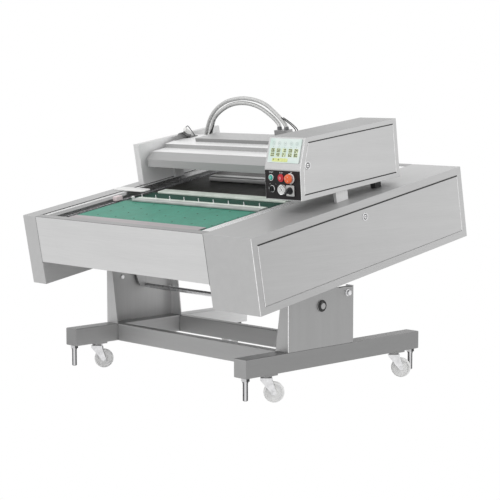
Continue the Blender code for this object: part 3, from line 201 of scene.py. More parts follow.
def tube(path, reach, sides=16):
    """Sweep a circle along a path. reach is a radius or a function of the length so far."""
    rings = []
    normal = None
    run = 0.0
    for index, place in enumerate(path):
        ahead = path[min(index + 1, len(path) - 1)] - path[max(index - 1, 0)]
        ahead.normalize()
        if normal is None:
            normal = ahead.orthogonal().normalized()
        normal = (normal - ahead * normal.dot(ahead)).normalized()
        side = ahead.cross(normal)
        if index:
            run += (place - path[index - 1]).length
        radius = reach(run) if callable(reach) else reach
        rings.append([place + normal * x + side * y for x, y, _ in circle(radius, 0, sides)])
    return solid(rings)


def merge(parts):
    """Put several bmeshes, each with a matrix, into one."""
    joined = bmesh.new()
    for data, place in parts:
        bmesh.ops.transform(data, matrix=place, verts=data.verts)
        mesh = bpy.data.meshes.new("part")
        data.to_mesh(mesh)
        data.free()
        joined.from_mesh(mesh)
        bpy.data.meshes.remove(mesh)
    return joined


def put(name, data):
    """Put an object with the given data in the scene."""
    made = bpy.data.objects.new(name, data)
    bpy.context.scene.collection.objects.link(made)
    return made


def settle(name, data, material, body, place=HERE, ride=True):
    """Turn a bmesh into a smooth-shaded piece that rides on a body."""
    bmesh.ops.transform(data, matrix=place, verts=data.verts)
    bmesh.ops.recalc_face_normals(data, faces=data.faces)
    mesh = bpy.data.meshes.new(name)
    data.to_mesh(mesh)
    data.free()
    mesh.shade_smooth()
    mesh.set_sharp_from_angle(angle=SHARP_ANGLE)
    mesh.materials.append(material)
    piece = put(name, mesh)
    if ride:
        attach(piece, body)
    return piece


def at(x, y, z):
    """Return a move."""
    return Matrix.Translation((x, y, z))


def facing(axis, sign=1):
    """Return the turn that points local Z along a world axis."""
    if axis == "X":
        return Matrix.Rotation(math.radians(90 * sign), 4, "Y")
    return Matrix.Rotation(math.radians(-90 * sign), 4, "X")


# Materials

def add(tree, kind, values=None, **settings):
    """Add a node, set its properties and the values of its named or numbered inputs."""
    made = tree.nodes.new(kind)
    for key, value in settings.items():
        setattr(made, key, value)
    for key, value in (values or {}).items():
        made.inputs[key].default_value = value
    return made


def start_material(name, colour, roughness, metallic=0.0):
    """Return a material with its tree, shader and object coordinates."""
    material = bpy.data.materials.new(name)
    material.use_nodes = True
    tree = material.node_tree
    shader = tree.nodes["Principled BSDF"]
    shader.inputs["Base Color"].default_value = (*colour, 1)
    shader.inputs["Roughness"].default_value = roughness
    shader.inputs["Metallic"].default_value = metallic
    place = add(tree, "ShaderNodeTexCoord").outputs["Object"]
    return material, tree, shader, place


def noise(tree, place, scale, detail=3.0, turn=(0, 0, 0)):
    """Return noise that is stretched by a scale for each axis."""
    mapping = add(tree, "ShaderNodeMapping", {"Rotation": turn, "Scale": scale})
    tree.links.new(place, mapping.inputs["Vector"])
    made = add(tree, "ShaderNodeTexNoise", {"Scale": 1.0, "Detail": detail, "Roughness": 0.55})
    tree.links.new(mapping.outputs["Vector"], made.inputs["Vector"])
    return made.outputs["Fac"]


def spread(tree, value, low, high, start=0.3, end=0.7):
    """Map noise to a range."""
    made = add(tree, "ShaderNodeMapRange", {
        "From Min": start, "From Max": end, "To Min": low, "To Max": high,
    })
    tree.links.new(value, made.inputs["Value"])
    return made.outputs["Result"]


def tint(tree, value, low, high):
    """Mix two colours by a value."""
    made = add(tree, "ShaderNodeMix", data_type="RGBA")
    made.inputs[6].default_value = (*low, 1)
    made.inputs[7].default_value = (*high, 1)
    tree.links.new(value, made.inputs["Factor"])
    return made.outputs[2]


def product(tree, first, second):
    """Multiply two values."""
    made = add(tree, "ShaderNodeMath", operation="MULTIPLY")
    tree.links.new(first, made.inputs[0])
    if isinstance(second, (int, float)):
        made.inputs[1].default_value = second
    else:
        tree.links.new(second, made.inputs[1])
    return made.outputs[0]


def mean(tree, first, second):
    """Average two values."""
    made = add(tree, "ShaderNodeMath", operation="ADD")
    tree.links.new(first, made.inputs[0])
    tree.links.new(second, made.inputs[1])
    return product(tree, made.outputs[0], 0.5)


def relief(tree, shader, height, distance, edge=0.0):
    """Feed a height into the shader's normal, on top of softened edges."""
    bump = add(tree, "ShaderNodeBump", {"Strength": 1.0, "Distance": distance})
    tree.links.new(height, bump.inputs["Height"])
    if edge:
        bevel = add(tree, "ShaderNodeBevel", {"Radius": edge}, samples=4)
        tree.links.new(bevel.outputs["Normal"], bump.inputs["Normal"])
    tree.links.new(bump.outputs["Normal"], shader.inputs["Normal"])


def facing_tone(tree, side, front, top, tilt):
    """Return one of three tones by the way a face looks, in the table's own directions: painted light and
    shade that makes sides, fronts and tops lighter or darker.
    """
    normal = add(tree, "ShaderNodeTexCoord").outputs["Normal"]
    mapping = add(tree, "ShaderNodeMapping", {"Rotation": (-tilt, 0, 0)})
    tree.links.new(normal, mapping.inputs["Vector"])
    split = add(tree, "ShaderNodeSeparateXYZ")
    tree.links.new(mapping.outputs["Vector"], split.inputs[0])
    sideways = product(tree, split.outputs["X"], split.outputs["X"])
    flat = spread(tree, sideways, front, side, 0.30, 0.75)
    choice = add(tree, "ShaderNodeMix", data_type="FLOAT")
    tree.links.new(spread(tree, split.outputs["Z"], 0, 1, 0.80, 0.97), choice.inputs["Factor"])
    tree.links.new(flat, choice.inputs[2])
    choice.inputs[3].default_value = top
    return choice.outputs[0]


def brushed_steel(name, side, front, top, roughness, grain, tilt=0.0, painted_light_slope=0.0, metallic=0.85):
    """Brushed stainless sheet: fine marks along the grain, broad streaks and faint smudges.

    The slope argument paints light along the sheet: lighter toward the rear, by that share for each metre.
    """
    material, tree, shader, place = start_material("steel_" + name, (side, side, side), roughness, metallic)
    turn = (-tilt, 0, 0)
    fine, broad = [700, 700, 700], [28, 28, 28]
    axis = "XYZ".index(grain)
    fine[axis], broad[axis] = 9, 1.1
    marks = noise(tree, place, fine, 4, turn)
    streaks = noise(tree, place, broad, 3, turn)
    smudges = noise(tree, place, (3.5, 3.5, 3.5), 5)
    shade = mean(tree, marks, mean(tree, streaks, smudges))
    # Painted light and shade: the side, front and top faces get their own tones.
    tone = facing_tone(tree, side, front, top, tilt)
    tone = product(tree, tone, spread(tree, shade, 0.95, 1.05, 0.38, 0.62))
    # Painted light: lighter toward the rear.
    if painted_light_slope:
        split = add(tree, "ShaderNodeSeparateXYZ")
        tree.links.new(place, split.inputs[0])
        tone = product(tree, tone, spread(tree, split.outputs["Y"], 1 - painted_light_slope, 1 + painted_light_slope, -1.0, 1.0))
    tree.links.new(tone, shader.inputs["Base Color"])
    wear = mean(tree, marks, smudges)
    wear = spread(tree, wear, roughness - 0.05, roughness + 0.07, 0.35, 0.65)
    tree.links.new(wear, shader.inputs["Roughness"])
    relief(tree, shader, marks, 0.00003, 0.0012)
    return material


def turned_metal(name, colour, roughness, lit=None):
    """Plated or turned metal with small marks and a cloudy plating.

    A polished round part given lit gets a painted reflection: light bands where its faces look that way and
    at right angles to it, with dark bands between them.
    """
    material, tree, shader, place = start_material(name, colour, roughness, 1.0)
    cloud = noise(tree, place, (60, 60, 60), 5)
    grain = noise(tree, place, (900, 900, 900), 2)
    low = tuple(c * 0.82 for c in colour)
    high = tuple(min(1.0, c * 1.08) for c in colour)
    shade = spread(tree, cloud, 0, 1)
    # Painted reflection: light and dark bands by the way the faces look.
    if lit:
        low = tuple(c * 0.10 for c in colour)
        dot = add(tree, "ShaderNodeVectorMath", {1: lit}, operation="DOT_PRODUCT")
        tree.links.new(add(tree, "ShaderNodeTexCoord").outputs["Normal"], dot.inputs[0])
        double = add(tree, "ShaderNodeMath", {1: 2.0, 2: -1.0}, operation="MULTIPLY_ADD")
        tree.links.new(product(tree, dot.outputs["Value"], dot.outputs["Value"]), double.inputs[0])
        bands = add(tree, "ShaderNodeMath", operation="ABSOLUTE")
        tree.links.new(double.outputs[0], bands.inputs[0])
        shade = spread(tree, bands.outputs[0], 0, 1, 0.35, 1.0)
    tree.links.new(tint(tree, shade, low, high), shader.inputs["Base Color"])
    wear = mean(tree, cloud, grain)
    tree.links.new(spread(tree, wear, roughness - 0.05, roughness + 0.12), shader.inputs["Roughness"])
    relief(tree, shader, grain, 0.00006, 0.0004)
    return material


def plastic(name, colour, roughness, grain=600.0, depth=0.00004, variation=0.08, coat=0.0, shine=0.5):
    """Moulded plastic with a fine grain, slight colour drift and dust in the roughness."""
    material, tree, shader, place = start_material(name, colour, roughness)
    cloud = noise(tree, place, (22, 22, 22), 4)
    skin = noise(tree, place, (grain, grain, grain), 2)
    low = tuple(c * (1 - variation) for c in colour)
    high = tuple(min(1.0, c * (1 + variation)) for c in colour)
    tree.links.new(tint(tree, spread(tree, cloud, 0, 1), low, high), shader.inputs["Base Color"])
    dust = mean(tree, cloud, skin)
    tree.links.new(spread(tree, dust, roughness - 0.06, roughness + 0.10), shader.inputs["Roughness"])
    shader.inputs["Coat Weight"].default_value = coat
    shader.inputs["Specular IOR Level"].default_value = shine
    relief(tree, shader, skin, depth, 0.0003)
    return material


def belt_material():
    """Green urethane belt: a fine diamond grip, and painted shade: darker between the bars, near black
    under the lid, then darker again toward the rear.
    """
    material, tree, shader, place = start_material("belt_green", (0.06, 0.30, 0.20), 0.42)
    diamonds = {"Rotation": (0, 0, math.radians(45)), "Scale": (420, 420, 420)}
    mapping = add(tree, "ShaderNodeMapping", diamonds)
    tree.links.new(place, mapping.inputs["Vector"])
    cells = add(tree, "ShaderNodeTexVoronoi", {"Scale": 1.0, "Randomness": 0.0}, distance="CHEBYCHEV")
    tree.links.new(mapping.outputs["Vector"], cells.inputs["Vector"])
    wear = noise(tree, place, (9, 2.2, 9), 4)
    cloud = noise(tree, place, (40, 40, 40), 4)
    shade = mean(tree, wear, cloud)
    worn, fresh = (0.034, 0.235, 0.160), (0.064, 0.315, 0.225)
    colour = tint(tree, spread(tree, shade, 0, 1, 0.38, 0.62), worn, fresh)
    split = add(tree, "ShaderNodeSeparateXYZ")
    tree.links.new(place, split.inputs[0])
    # Painted shade: dark green between the bars and toward the rear, near black under the lid.
    shade_between_bars, chamber = (0.006, 0.060, 0.040), (0.024, 0.024, 0.020)
    for start_y, shaded in zip(BELT_SHADE_Y, (shade_between_bars, chamber, shade_between_bars)):
        step = add(tree, "ShaderNodeMix", data_type="RGBA")
        reached = spread(tree, split.outputs["Y"], 0, 1, start_y, start_y + BELT_SHADE_LENGTH)
        tree.links.new(reached, step.inputs["Factor"])
        tree.links.new(colour, step.inputs[6])
        step.inputs[7].default_value = (*shaded, 1)
        colour = step.outputs[2]
    tree.links.new(colour, shader.inputs["Base Color"])
    tree.links.new(spread(tree, shade, 0.40, 0.52), shader.inputs["Roughness"])
    shader.inputs["Specular IOR Level"].default_value = 0.22
    relief(tree, shader, cells.outputs["Distance"], 0.0002)
    return material


def bar_material(name, low, high):
    """Pale silicone over the seal bar, with burnt streaks along it."""
    material, tree, shader, place = start_material(name, high, 0.38)
    streaks = noise(tree, place, (1.6, 120, 120), 4)
    stains = noise(tree, place, (14, 30, 14), 5)
    tree.links.new(
        tint(tree, spread(tree, mean(tree, streaks, stains), 0, 1, 0.36, 0.60), low, high),
        shader.inputs["Base Color"],
    )
    tree.links.new(spread(tree, stains, 0.30, 0.48), shader.inputs["Roughness"])
    relief(tree, shader, streaks, 0.0001, 0.0008)
    return material


def strands(tree, place):
    """Return diagonal bands for one set of strands."""
    weave = {"Scale": 95.0, "Distortion": 1.2, "Detail": 1.0}
    bands = add(tree, "ShaderNodeTexWave", weave, bands_direction="DIAGONAL")
    tree.links.new(place, bands.inputs["Vector"])
    return bands.outputs["Fac"]


def braid_material():
    """Woven steel braid: two crossing sets of strands."""
    material, tree, shader, place = start_material("hose_braid", (0.60, 0.60, 0.60), 0.38, 0.75)
    first = strands(tree, place)
    turned = add(tree, "ShaderNodeMapping", {"Rotation": (0, math.radians(90), math.radians(35))})
    tree.links.new(place, turned.inputs["Vector"])
    weave = mean(tree, first, strands(tree, turned.outputs["Vector"]))
    dirt = noise(tree, place, (35, 35, 35), 4)
    shade = mean(tree, weave, dirt)
    tree.links.new(tint(tree, shade, (0.34, 0.34, 0.34), (0.80, 0.80, 0.79)), shader.inputs["Base Color"])
    tree.links.new(spread(tree, dirt, 0.30, 0.50), shader.inputs["Roughness"])
    relief(tree, shader, weave, 0.0003)
    return material


def screen_material():
    """A pale mint membrane under gloss, with a painted glow: brighter in patches, as if a lamp shone behind
    it.
    """
    material, tree, shader, place = start_material("screen_mint", (0.78, 0.90, 0.86), 0.20)
    # Painted glow: pale patches as if lit from behind.
    painted_glow = noise(tree, place, (9, 9, 14), 2)
    painted_glow = spread(tree, painted_glow, 0, 1, 0.35, 0.65)
    tree.links.new(tint(tree, painted_glow, (0.70, 0.86, 0.80), (0.88, 0.95, 0.92)), shader.inputs["Base Color"])
    grain = noise(tree, place, (300, 300, 300), 2)
    tree.links.new(spread(tree, grain, 0.16, 0.26), shader.inputs["Roughness"])
    shader.inputs["Coat Weight"].default_value = 0.3
    return material


def print_material(name, colour):
    """Printed colour on the screen or on a plate, slightly uneven."""
    material, tree, shader, place = start_material(name, colour, 0.35)
    cloud = noise(tree, place, (120, 120, 120), 3)
    low = tuple(c * 0.85 for c in colour)
    high = tuple(min(1.0, c * 1.1) for c in colour)
    tree.links.new(tint(tree, spread(tree, cloud, 0, 1), low, high), shader.inputs["Base Color"])
    return material


# Tones of the side, front and top faces, roughness, grain and tilt. The face tones are painted light and
# shade, set for each part by how light falls on its faces.
side_steel = brushed_steel("side", 0.52, 0.58, 0.47, 0.40, "Y", TABLE_TILT, painted_light_slope=0.14, metallic=0.3)
cover_steel = brushed_steel("cover", 0.52, 0.56, 0.52, 0.38, "Y", TABLE_TILT, painted_light_slope=0.14)
front_steel = brushed_steel("front", 0.50, 0.66, 0.34, 0.38, "X", TABLE_TILT)
# Painted highlight: the lid's top is near white.
lid_steel = brushed_steel("lid", 0.44, 0.42, 0.95, 0.40, "X", TABLE_TILT, metallic=0.25)
valve_steel = brushed_steel("valve", 0.40, 0.28, 0.52, 0.40, "X", TABLE_TILT, metallic=0.5)
rest_steel = brushed_steel("rest", 0.60, 0.66, 0.66, 0.30, "X", TABLE_TILT, metallic=0.5)
# Painted shade: the housing's top is made dark.
housing_steel = brushed_steel("housing", 0.58, 0.52, 0.29, 0.36, "Y", TABLE_TILT + HOUSING_TILT)
# Painted light: the arm's sides are made light against the shade under the lid.
arm_steel = brushed_steel("arm", 0.86, 0.74, 0.66, 0.40, "Z", TABLE_TILT, metallic=0.2)
post_steel = brushed_steel("post", 0.60, 0.92, 0.80, 0.40, "Z", TABLE_TILT, metallic=0.1)
# Painted light and shade: the left column is a lit copy and the right column a shaded copy of one steel.
left_column_steel = brushed_steel("left_column", 0.56, 0.78, 0.44, 0.42, "Z", painted_light_slope=0.9, metallic=0.5)
right_column_steel = brushed_steel("right_column", 0.37, 0.43, 0.40, 0.42, "Z")
cheek_steel = brushed_steel("cheek", 0.41, 0.38, 0.42, 0.40, "Z", TABLE_TILT)
# Painted light and shade: the right rail is a shaded copy and the left rail a lit copy of one steel.
right_rail_steel = brushed_steel("right_rail", 0.28, 0.36, 0.22, 0.42, "Y")
left_rail_steel = brushed_steel("left_rail", 0.66, 0.46, 0.40, 0.42, "Y", painted_light_slope=0.7, metallic=0.3)
cross_steel = brushed_steel("cross", 0.36, 0.44, 0.30, 0.42, "X", metallic=0.35)
under_steel = brushed_steel("under", 0.30, 0.26, 0.26, 0.45, "X", TABLE_TILT)
# Painted sheen: the guide rails' tops are light.
bright_steel = brushed_steel("bright", 0.40, 0.60, 0.78, 0.28, "Y", TABLE_TILT)
# Colour and roughness, then the scale and depth of the grain, colour drift and coat
zinc = turned_metal("zinc_plate", (0.80, 0.80, 0.81), 0.28)
chrome = turned_metal("chrome", (0.78, 0.78, 0.79), 0.14)
# Painted reflection: the feet get light and dark bands across their round faces.
foot_chrome = turned_metal("foot_chrome", (0.68, 0.68, 0.69), 0.20, (0.72, -0.69, 0.0))
# Painted highlight: a near-white mirror for the thin rods along folded edges.
edge_highlight = turned_metal("edge_highlight", (0.98, 0.98, 0.98), 0.16)
chain_steel = turned_metal("chain_steel", (0.46, 0.46, 0.47), 0.24)
dark_chrome = turned_metal("dark_metal", (0.16, 0.16, 0.165), 0.34)
nylon = plastic("nylon_white", (0.93, 0.93, 0.925), 0.40, 260, 0.00008, 0.03)
black = plastic("plastic_black", (0.022, 0.022, 0.024), 0.42, 900)
panel_black = plastic("panel_black", (0.020, 0.017, 0.018), 0.40, 1200, 0.00003, 0.2, shine=0.2)
white_plastic = plastic("plastic_white", (0.86, 0.86, 0.85), 0.36, 500, 0.00003, 0.03)
grey_plastic = plastic("plastic_grey", (0.62, 0.62, 0.61), 0.40, 500, 0.00003, 0.05)
pink_plastic = plastic("plastic_rose", (0.80, 0.68, 0.69), 0.40, 260, 0.00006, 0.08)
green_plastic = plastic("plastic_green", (0.035, 0.48, 0.38), 0.26, 700, 0.00002, 0.06, 0.3)
red_plastic = plastic("plastic_red", (0.62, 0.015, 0.035), 0.28, 700, 0.00002, 0.08, 0.3)
orange_plastic = plastic("plastic_orange", (0.88, 0.14, 0.03), 0.32, 500, 0.00003, 0.06, 0.2)
rubber = plastic("rubber_black", (0.018, 0.018, 0.018), 0.58, 400, 0.00008, 0.15)
belt_green = belt_material()
rear_bar = bar_material("bar_pale", (0.62, 0.70, 0.62), (0.86, 0.92, 0.85))
front_bar = bar_material("bar_warm", (0.34, 0.37, 0.35), (0.56, 0.58, 0.56))
infeed_look = bar_material("infeed_pale", (0.30, 0.265, 0.275), (0.44, 0.40, 0.41))
braid = braid_material()
mint = screen_material()
halo = print_material("print_halo", (0.80, 0.90, 0.56))
lime = print_material("print_lime", (0.80, 0.87, 0.34))
ink = print_material("print_dark", (0.030, 0.045, 0.012))
grey_ink = print_material("print_grey", (0.42, 0.50, 0.47))
white_ink = print_material("print_white", (0.80, 0.82, 0.82))

FINISHES = {
    "left_rail": left_rail_steel, "right_rail": right_rail_steel,
    "front_cross_rail": cross_steel, "rear_cross_rail": cross_steel,
    "left_column": left_column_steel, "right_column": right_column_steel, "tie_bar": zinc,
    "left_side_box": side_steel, "right_side_box": side_steel, "right_side_cover": cover_steel,
    "front_panel": front_steel, "rear_panel": front_steel, "table_floor": under_steel,
    "left_guide_rail": bright_steel, "right_guide_rail": bright_steel,
    "left_cheek_plate": cheek_steel, "right_cheek_plate": cheek_steel,
    "conveyor_belt": belt_green, "front_roller": zinc, "rear_roller": zinc,
    "front_seal_bar": front_bar, "rear_seal_bar": rear_bar, "chamber_rest_bar": rest_steel,
    "infeed_plate": infeed_look, "right_housing": housing_steel, "right_housing_cover": housing_steel,
    "right_post": arm_steel, "rear_bracket": black, "left_arm": arm_steel, "left_arm_post": post_steel,
    "screen": mint, "control_plate": panel_black, "vacuum_gauge": white_plastic,
    "lid_shell": lid_steel, "lid_valve_cover": valve_steel, "lid_bracket": under_steel,
    "start_button": green_plastic, "stop_button": red_plastic, "emergency_stop": orange_plastic,
    "selector_switch": black, "main_switch": black,
}
for side in ("left", "right"):
    for end in ("front", "rear"):
        FINISHES[f"{side}_{end}_foot"] = foot_chrome
        FINISHES[f"{side}_{end}_fork"] = zinc
        FINISHES[f"{side}_{end}_wheel"] = nylon
for node_name, finish in FINISHES.items():
    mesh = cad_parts[node_name].data
    mesh.materials.clear()
    mesh.materials.append(finish)


# Hoses

def ribbed(pitch, crest, groove):
    """Return a radius that rises and falls along a hose."""
    def reach(run):
        return groove + (crest - groove) * (0.5 + 0.5 * math.cos(2 * math.pi * run / pitch))
    return reach


def build_hose(name, route):
    """A braided, ribbed hose with its end sleeves, from the arm's flange to the lid's manifold."""
    ribs = ribbed(0.0058, HOSE_RADIUS - 0.0004, HOSE_RADIUS - 0.0014)
    swept = tube(smooth_path(route, HOSE_STEP), ribs, 20)
    hose = settle(name + "_braid", swept, braid, None, DECK, ride=False)
    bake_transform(hose)
    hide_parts(name)
    wide = HOSE_RADIUS + 0.0012
    narrow, rim = wide - 0.001, wide - 0.003
    sleeve = ((wide, 0.0), (wide, 0.010), (narrow, 0.0115), (narrow, 0.014), (rim, 0.015))
    left, right = DECK @ at(*route[0]) @ facing("X"), DECK @ at(*route[-1])
    settle(name + "_left_sleeve", lathe(sleeve, 24), dark_chrome, "table", left)
    settle(name + "_right_sleeve", lathe(sleeve, 24), dark_chrome, "lid", right)


build_hose("outer_hose", OUTER_HOSE_ROUTE)
build_hose("inner_hose", INNER_HOSE_ROUTE)


# Drive chain

def build_chain():
    """A roller chain whose links follow the loop over both sprockets."""
    centre_x, front_y, rear_y, middle_z = BELT_X[0] - 0.040, -0.520, 0.640, -0.0543
    radius, count = 0.028, 132
    run, bend = rear_y - front_y, math.pi * radius
    total = 2 * (run + bend)
    pitch = total / count

    def on_sprocket(y, sign, angle):
        """Return a place on the bend over one sprocket."""
        rise, reach = sign * radius * math.cos(angle), sign * radius * math.sin(angle)
        return Vector((centre_x, y + reach, middle_z + rise))

    def place(length):
        """Return the place and the heading on the loop."""
        length %= total
        if length < run:
            return Vector((centre_x, front_y + length, middle_z + radius)), 0.0
        length -= run
        if length < bend:
            return on_sprocket(rear_y, 1, length / radius), -length / radius
        length -= bend
        if length < run:
            return Vector((centre_x, rear_y - length, middle_z - radius)), math.pi
        angle = (length - run) / radius
        return on_sprocket(front_y, -1, angle), math.pi - angle

    parts, outline = [], []
    eye = 0.0045
    for centre, first, waist in ((pitch / 2, -90, 0.72), (-pitch / 2, 90, -0.72)):
        for step in range(5):
            angle = math.radians(first + 45 * step)
            outline.append((centre + eye * math.cos(angle), eye * math.sin(angle)))
        outline.append((0, eye * waist))
    slim, wide, near, far = 0.0018, 0.0038, 0.0078, 0.0115
    pin = ((slim, -far), (slim, -near), (wide, -near), (wide, near), (slim, near), (slim, far))
    for index in range(count):
        centre, heading = place((index + 0.5) * pitch)
        turn = Matrix.Translation(centre) @ Matrix.Rotation(heading, 4, "X")
        offset = 0.0083 if index % 2 else 0.0100
        for side in (-1, 1):
            plate = slab(outline, -0.0007, 0.0007)
            along = Matrix(((0, 0, 1, side * offset), (1, 0, 0, 0), (0, 1, 0, 0), (0, 0, 0, 1)))
            parts.append((plate, turn @ along))
        parts.append((lathe(pin, 8), Matrix.Translation(place(index * pitch)[0]) @ facing("X")))
    chain = settle("drive_chain_links", merge(parts), chain_steel, "table", DECK)
    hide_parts("drive_chain")


build_chain()


# Belt dots, seal bar strips and pins

def screw_head(radius):
    """A low domed screw head with a hexagon recess."""
    steps, sector = 24, math.pi / 3
    dome = ((1.0, 0.0), (0.98, 0.18), (0.80, 0.36), (0.52, 0.42))
    rings = [circle(radius * reach, radius * height, steps) for reach, height in dome]
    for height in (0.42, 0.12):
        ring = []
        for i in range(steps):
            angle = 2 * math.pi * i / steps
            inside = (angle + sector / 2) % sector - sector / 2
            reach = radius * 0.42 / math.cos(inside)
            ring.append((reach * math.cos(angle), reach * math.sin(angle), radius * height))
        rings.append(ring)
    return solid(rings)


def build_belt_details():
    """Rows of small dark rivets in the belt, and the strip, pins and screws of the seal bars."""
    rivet = ((0.0046, 0.0), (0.0043, 0.00025), (0.0026, 0.0004))
    dots = []
    for column in range(7):
        for row in range(8):
            x = -0.427 + 0.127 * column
            y = -0.435 + 0.0760 * row
            under_a_bar = -0.19 < y < -0.12 or -0.04 < y < 0.04
            if not under_a_bar:
                dots.append((lathe(rivet, 14), at(x, y, BELT_TOP)))
    settle("belt_rivets", merge(dots), rubber, "table", DECK)
    strip = slab(rounded(-0.476, 0.364, -0.1530, -0.1330, 0.004), BAR_TOP, BAR_TOP + 0.0008, 0.0003)
    settle("front_bar_strip", strip, rear_bar, "table", DECK)
    shank = ((0.0022, 0), (0.0022, 0.014), (0.0014, 0.016))
    head = ((0.0042, 0), (0.0042, 0.0022), (0.0034, 0.003))
    pins = []
    for index in range(9):
        place = at(-0.462 + 0.098 * index, -0.1345, BAR_TOP)
        pins += [(lathe(shank, 12), place), (lathe(head, 12), place)]
    settle("front_bar_pins", merge(pins), zinc, "table", DECK)
    screws = []
    for x in (-0.470, 0.358):
        for y in (-0.1575, 0.0055):
            screws.append((screw_head(0.0050), at(x, y, BAR_TOP + CLEARANCE)))
    settle("bar_screws", merge(screws), zinc, "table", DECK)


build_belt_details()


# Covers, locks and bolts

def build_lock(name, place, body):
    """A quarter-turn lock: a chromed barrel round a dark core with a raised key bar."""
    hole, rim = 0.0115, 0.0175
    ring = ((hole, 0.0), (rim, 0.0), (rim, 0.0012), (0.0163, 0.0026), (0.0128, 0.0026), (hole, 0.0010))
    settle(name + "_ring", lathe(ring, 40, True), chrome, body, place)
    gap = lathe(((0.0113, -0.0003), (0.0113, 0.0008), (0.0085, 0.0002), (0.0060, 0.0002)), 32)
    bar = slab(rounded(-0.0012, 0.0012, -0.0060, 0.0060, 0.0010), 0.0022, 0.0027, 0.0002)
    settle(name + "_gap", merge([(gap, HERE), (bar, HERE)]), rubber, body, place)
    core = lathe(((0.0082, 0.0003), (0.0082, 0.0016), (0.0074, 0.0021), (0.0040, 0.0021)), 32)
    settle(name + "_core", core, chrome, body, place)


build_lock("side_cover_lock", DECK @ at(0.7537, 0.057, -0.073) @ facing("X"), "table")
build_lock("housing_cover_lock", DECK @ at(0.6903, -0.185, 0.198) @ facing("X"), "table")


def beads(name, lines, radius, material, body, place=HERE):
    """Thin rods along lines of points: rubber in a groove, or a bright rod standing for the painted
    highlight of a folded edge.
    """
    parts = []
    for line in lines:
        for start, end in zip(line, line[1:]):
            path = [Vector(start).lerp(Vector(end), step / 4) for step in range(5)]
            parts.append((tube(path, radius, 10), HERE))
    settle(name, merge(parts), material, body, place)


def build_seams():
    """Rubber along the covers' grooves, and bright rods along the folded edges as painted highlights."""
    face_x, front, rear, low, top = 0.7532, -0.5820, 0.6860, -0.2887, -0.0365
    gasket = [(face_x, front, top), (face_x, rear, top)]
    beads("side_cover_gasket", [gasket], 0.0032, rubber, "table", DECK)
    uprights = [[(face_x, y, low), (face_x, y, top)] for y in (front, rear)]
    corner = [(0.7522, -0.6133, -0.320), (0.7522, -0.6133, -0.002)]
    beads("side_box_edge_highlights", uprights + [corner], 0.0016, edge_highlight, "table", DECK)
    face_x = 0.6900
    upper = [(face_x, 0.0700, 0.2335), (face_x, 0.5985, 0.2335)]
    bottom = [(face_x, 0.0250, 0.0225), (face_x, 0.5985, 0.0225)]
    beads("housing_gasket", [upper, bottom], 0.0025, rubber, "table", HOUSING)
    slanted = [(face_x, 0.0225, 0.0235), (face_x, 0.0285, 0.1250), (face_x, 0.0670, 0.2320)]
    upright = [(face_x, 0.5995, 0.0240), (face_x, 0.5995, 0.2320)]
    nose = [(0.6890, 0.0012, 0.001), (0.6890, 0.0072, 0.128), (0.6890, 0.0522, 0.255)]
    beads("housing_edge_highlights", [slanted, upright, nose], 0.0015, edge_highlight, "table", HOUSING)
    front_lip = [(-0.655, -0.6142, -0.0003), (0.471, -0.6142, -0.0003)]
    joints = [[(x, -0.6143, -0.220), (x, -0.6143, -0.002)] for x in (-0.6575, 0.4738)]
    beads("front_panel_seams", [front_lip] + joints, 0.0009, dark_chrome, "table", DECK)
    column = [(0.5993, -0.3146, 0.202), (0.5993, -0.3146, 0.451)]
    beads("right_column_edge_highlight", [column], 0.0018, edge_highlight, "base")
    slot = [(0.6000, -0.005, 0.4492), (0.6000, 0.035, 0.4512), (0.6000, 0.080, 0.4480)]
    beads("right_column_slot", [slot], 0.0016, rubber, "base")


build_seams()


def build_bolts():
    """Bolts and washers on the columns, and the pivots' black rings."""
    bolt_y, bolt_z, washer_thick = 0.0530, 0.4221, 0.0024
    washer = ((0.0150, 0), (0.0150, 0.0018), (0.0140, washer_thick), (0.008, washer_thick))
    heads = []
    for sign in (1, -1):
        turn = facing("X", sign)
        heads.append((lathe(washer, 32), at(sign * SHAFT_X, bolt_y, bolt_z) @ turn))
        heads.append((hex_head(0.021, 0.011), at(sign * (SHAFT_X + washer_thick), bolt_y, bolt_z) @ turn))
    for y, z in ((-0.2259, 0.4079), (0.0700, 0.3346)):
        heads.append((hex_head(0.019, 0.008), at(-0.5975, y, z) @ facing("X")))
    settle("column_bolts", merge(heads), zinc, "base")
    hole, rim = 0.0146, 0.0252
    ring = ((hole, 0.0), (rim, 0.0), (rim, 0.0052), (0.0240, 0.0068), (0.0160, 0.0068), (hole, 0.0056))
    for sign, side_name in ((-1, "left"), (1, "right")):
        place = at(sign * SHAFT_X, PIVOT.y, PIVOT.z) @ facing("X", sign)
        settle(side_name + "_pivot_ring", lathe(ring, 48, True), rubber, "base", place)


build_bolts()


def build_panel_screws():
    """Screws that hold the arm, the rear panel and the rear of the right housing."""
    screws = []
    for y in (0.080, 0.310, 0.545):
        for z in (0.030, 0.155):
            screws.append((screw_head(0.0055), at(ARM_OUTER_X, y, z) @ facing("X", -1)))
    for index in range(6):
        screws.append((screw_head(0.0050), at(-0.600 + 0.205 * index, REAR_Y, -0.018) @ facing("Y")))
    settle("panel_screws", merge(screws), chrome, "table", DECK)
    screws = []
    for x in (0.505, 0.669):
        for z in (0.025, 0.230):
            screws.append((screw_head(0.0050), at(x, HOUSING_REAR_Y, z) @ facing("Y")))
    settle("housing_screws", merge(screws), chrome, "table", HOUSING)


build_panel_screws()


# Controls

def bezel(outer, inner, height):
    """A turned ring round a button."""
    rim = [(outer, 0.0), (outer, height * 0.55), (outer - 0.0012, height)]
    hole = [(inner + 0.0008, height), (inner, height - 0.0008)]
    return lathe([(inner, 0.0)] + rim + hole, 48, True)


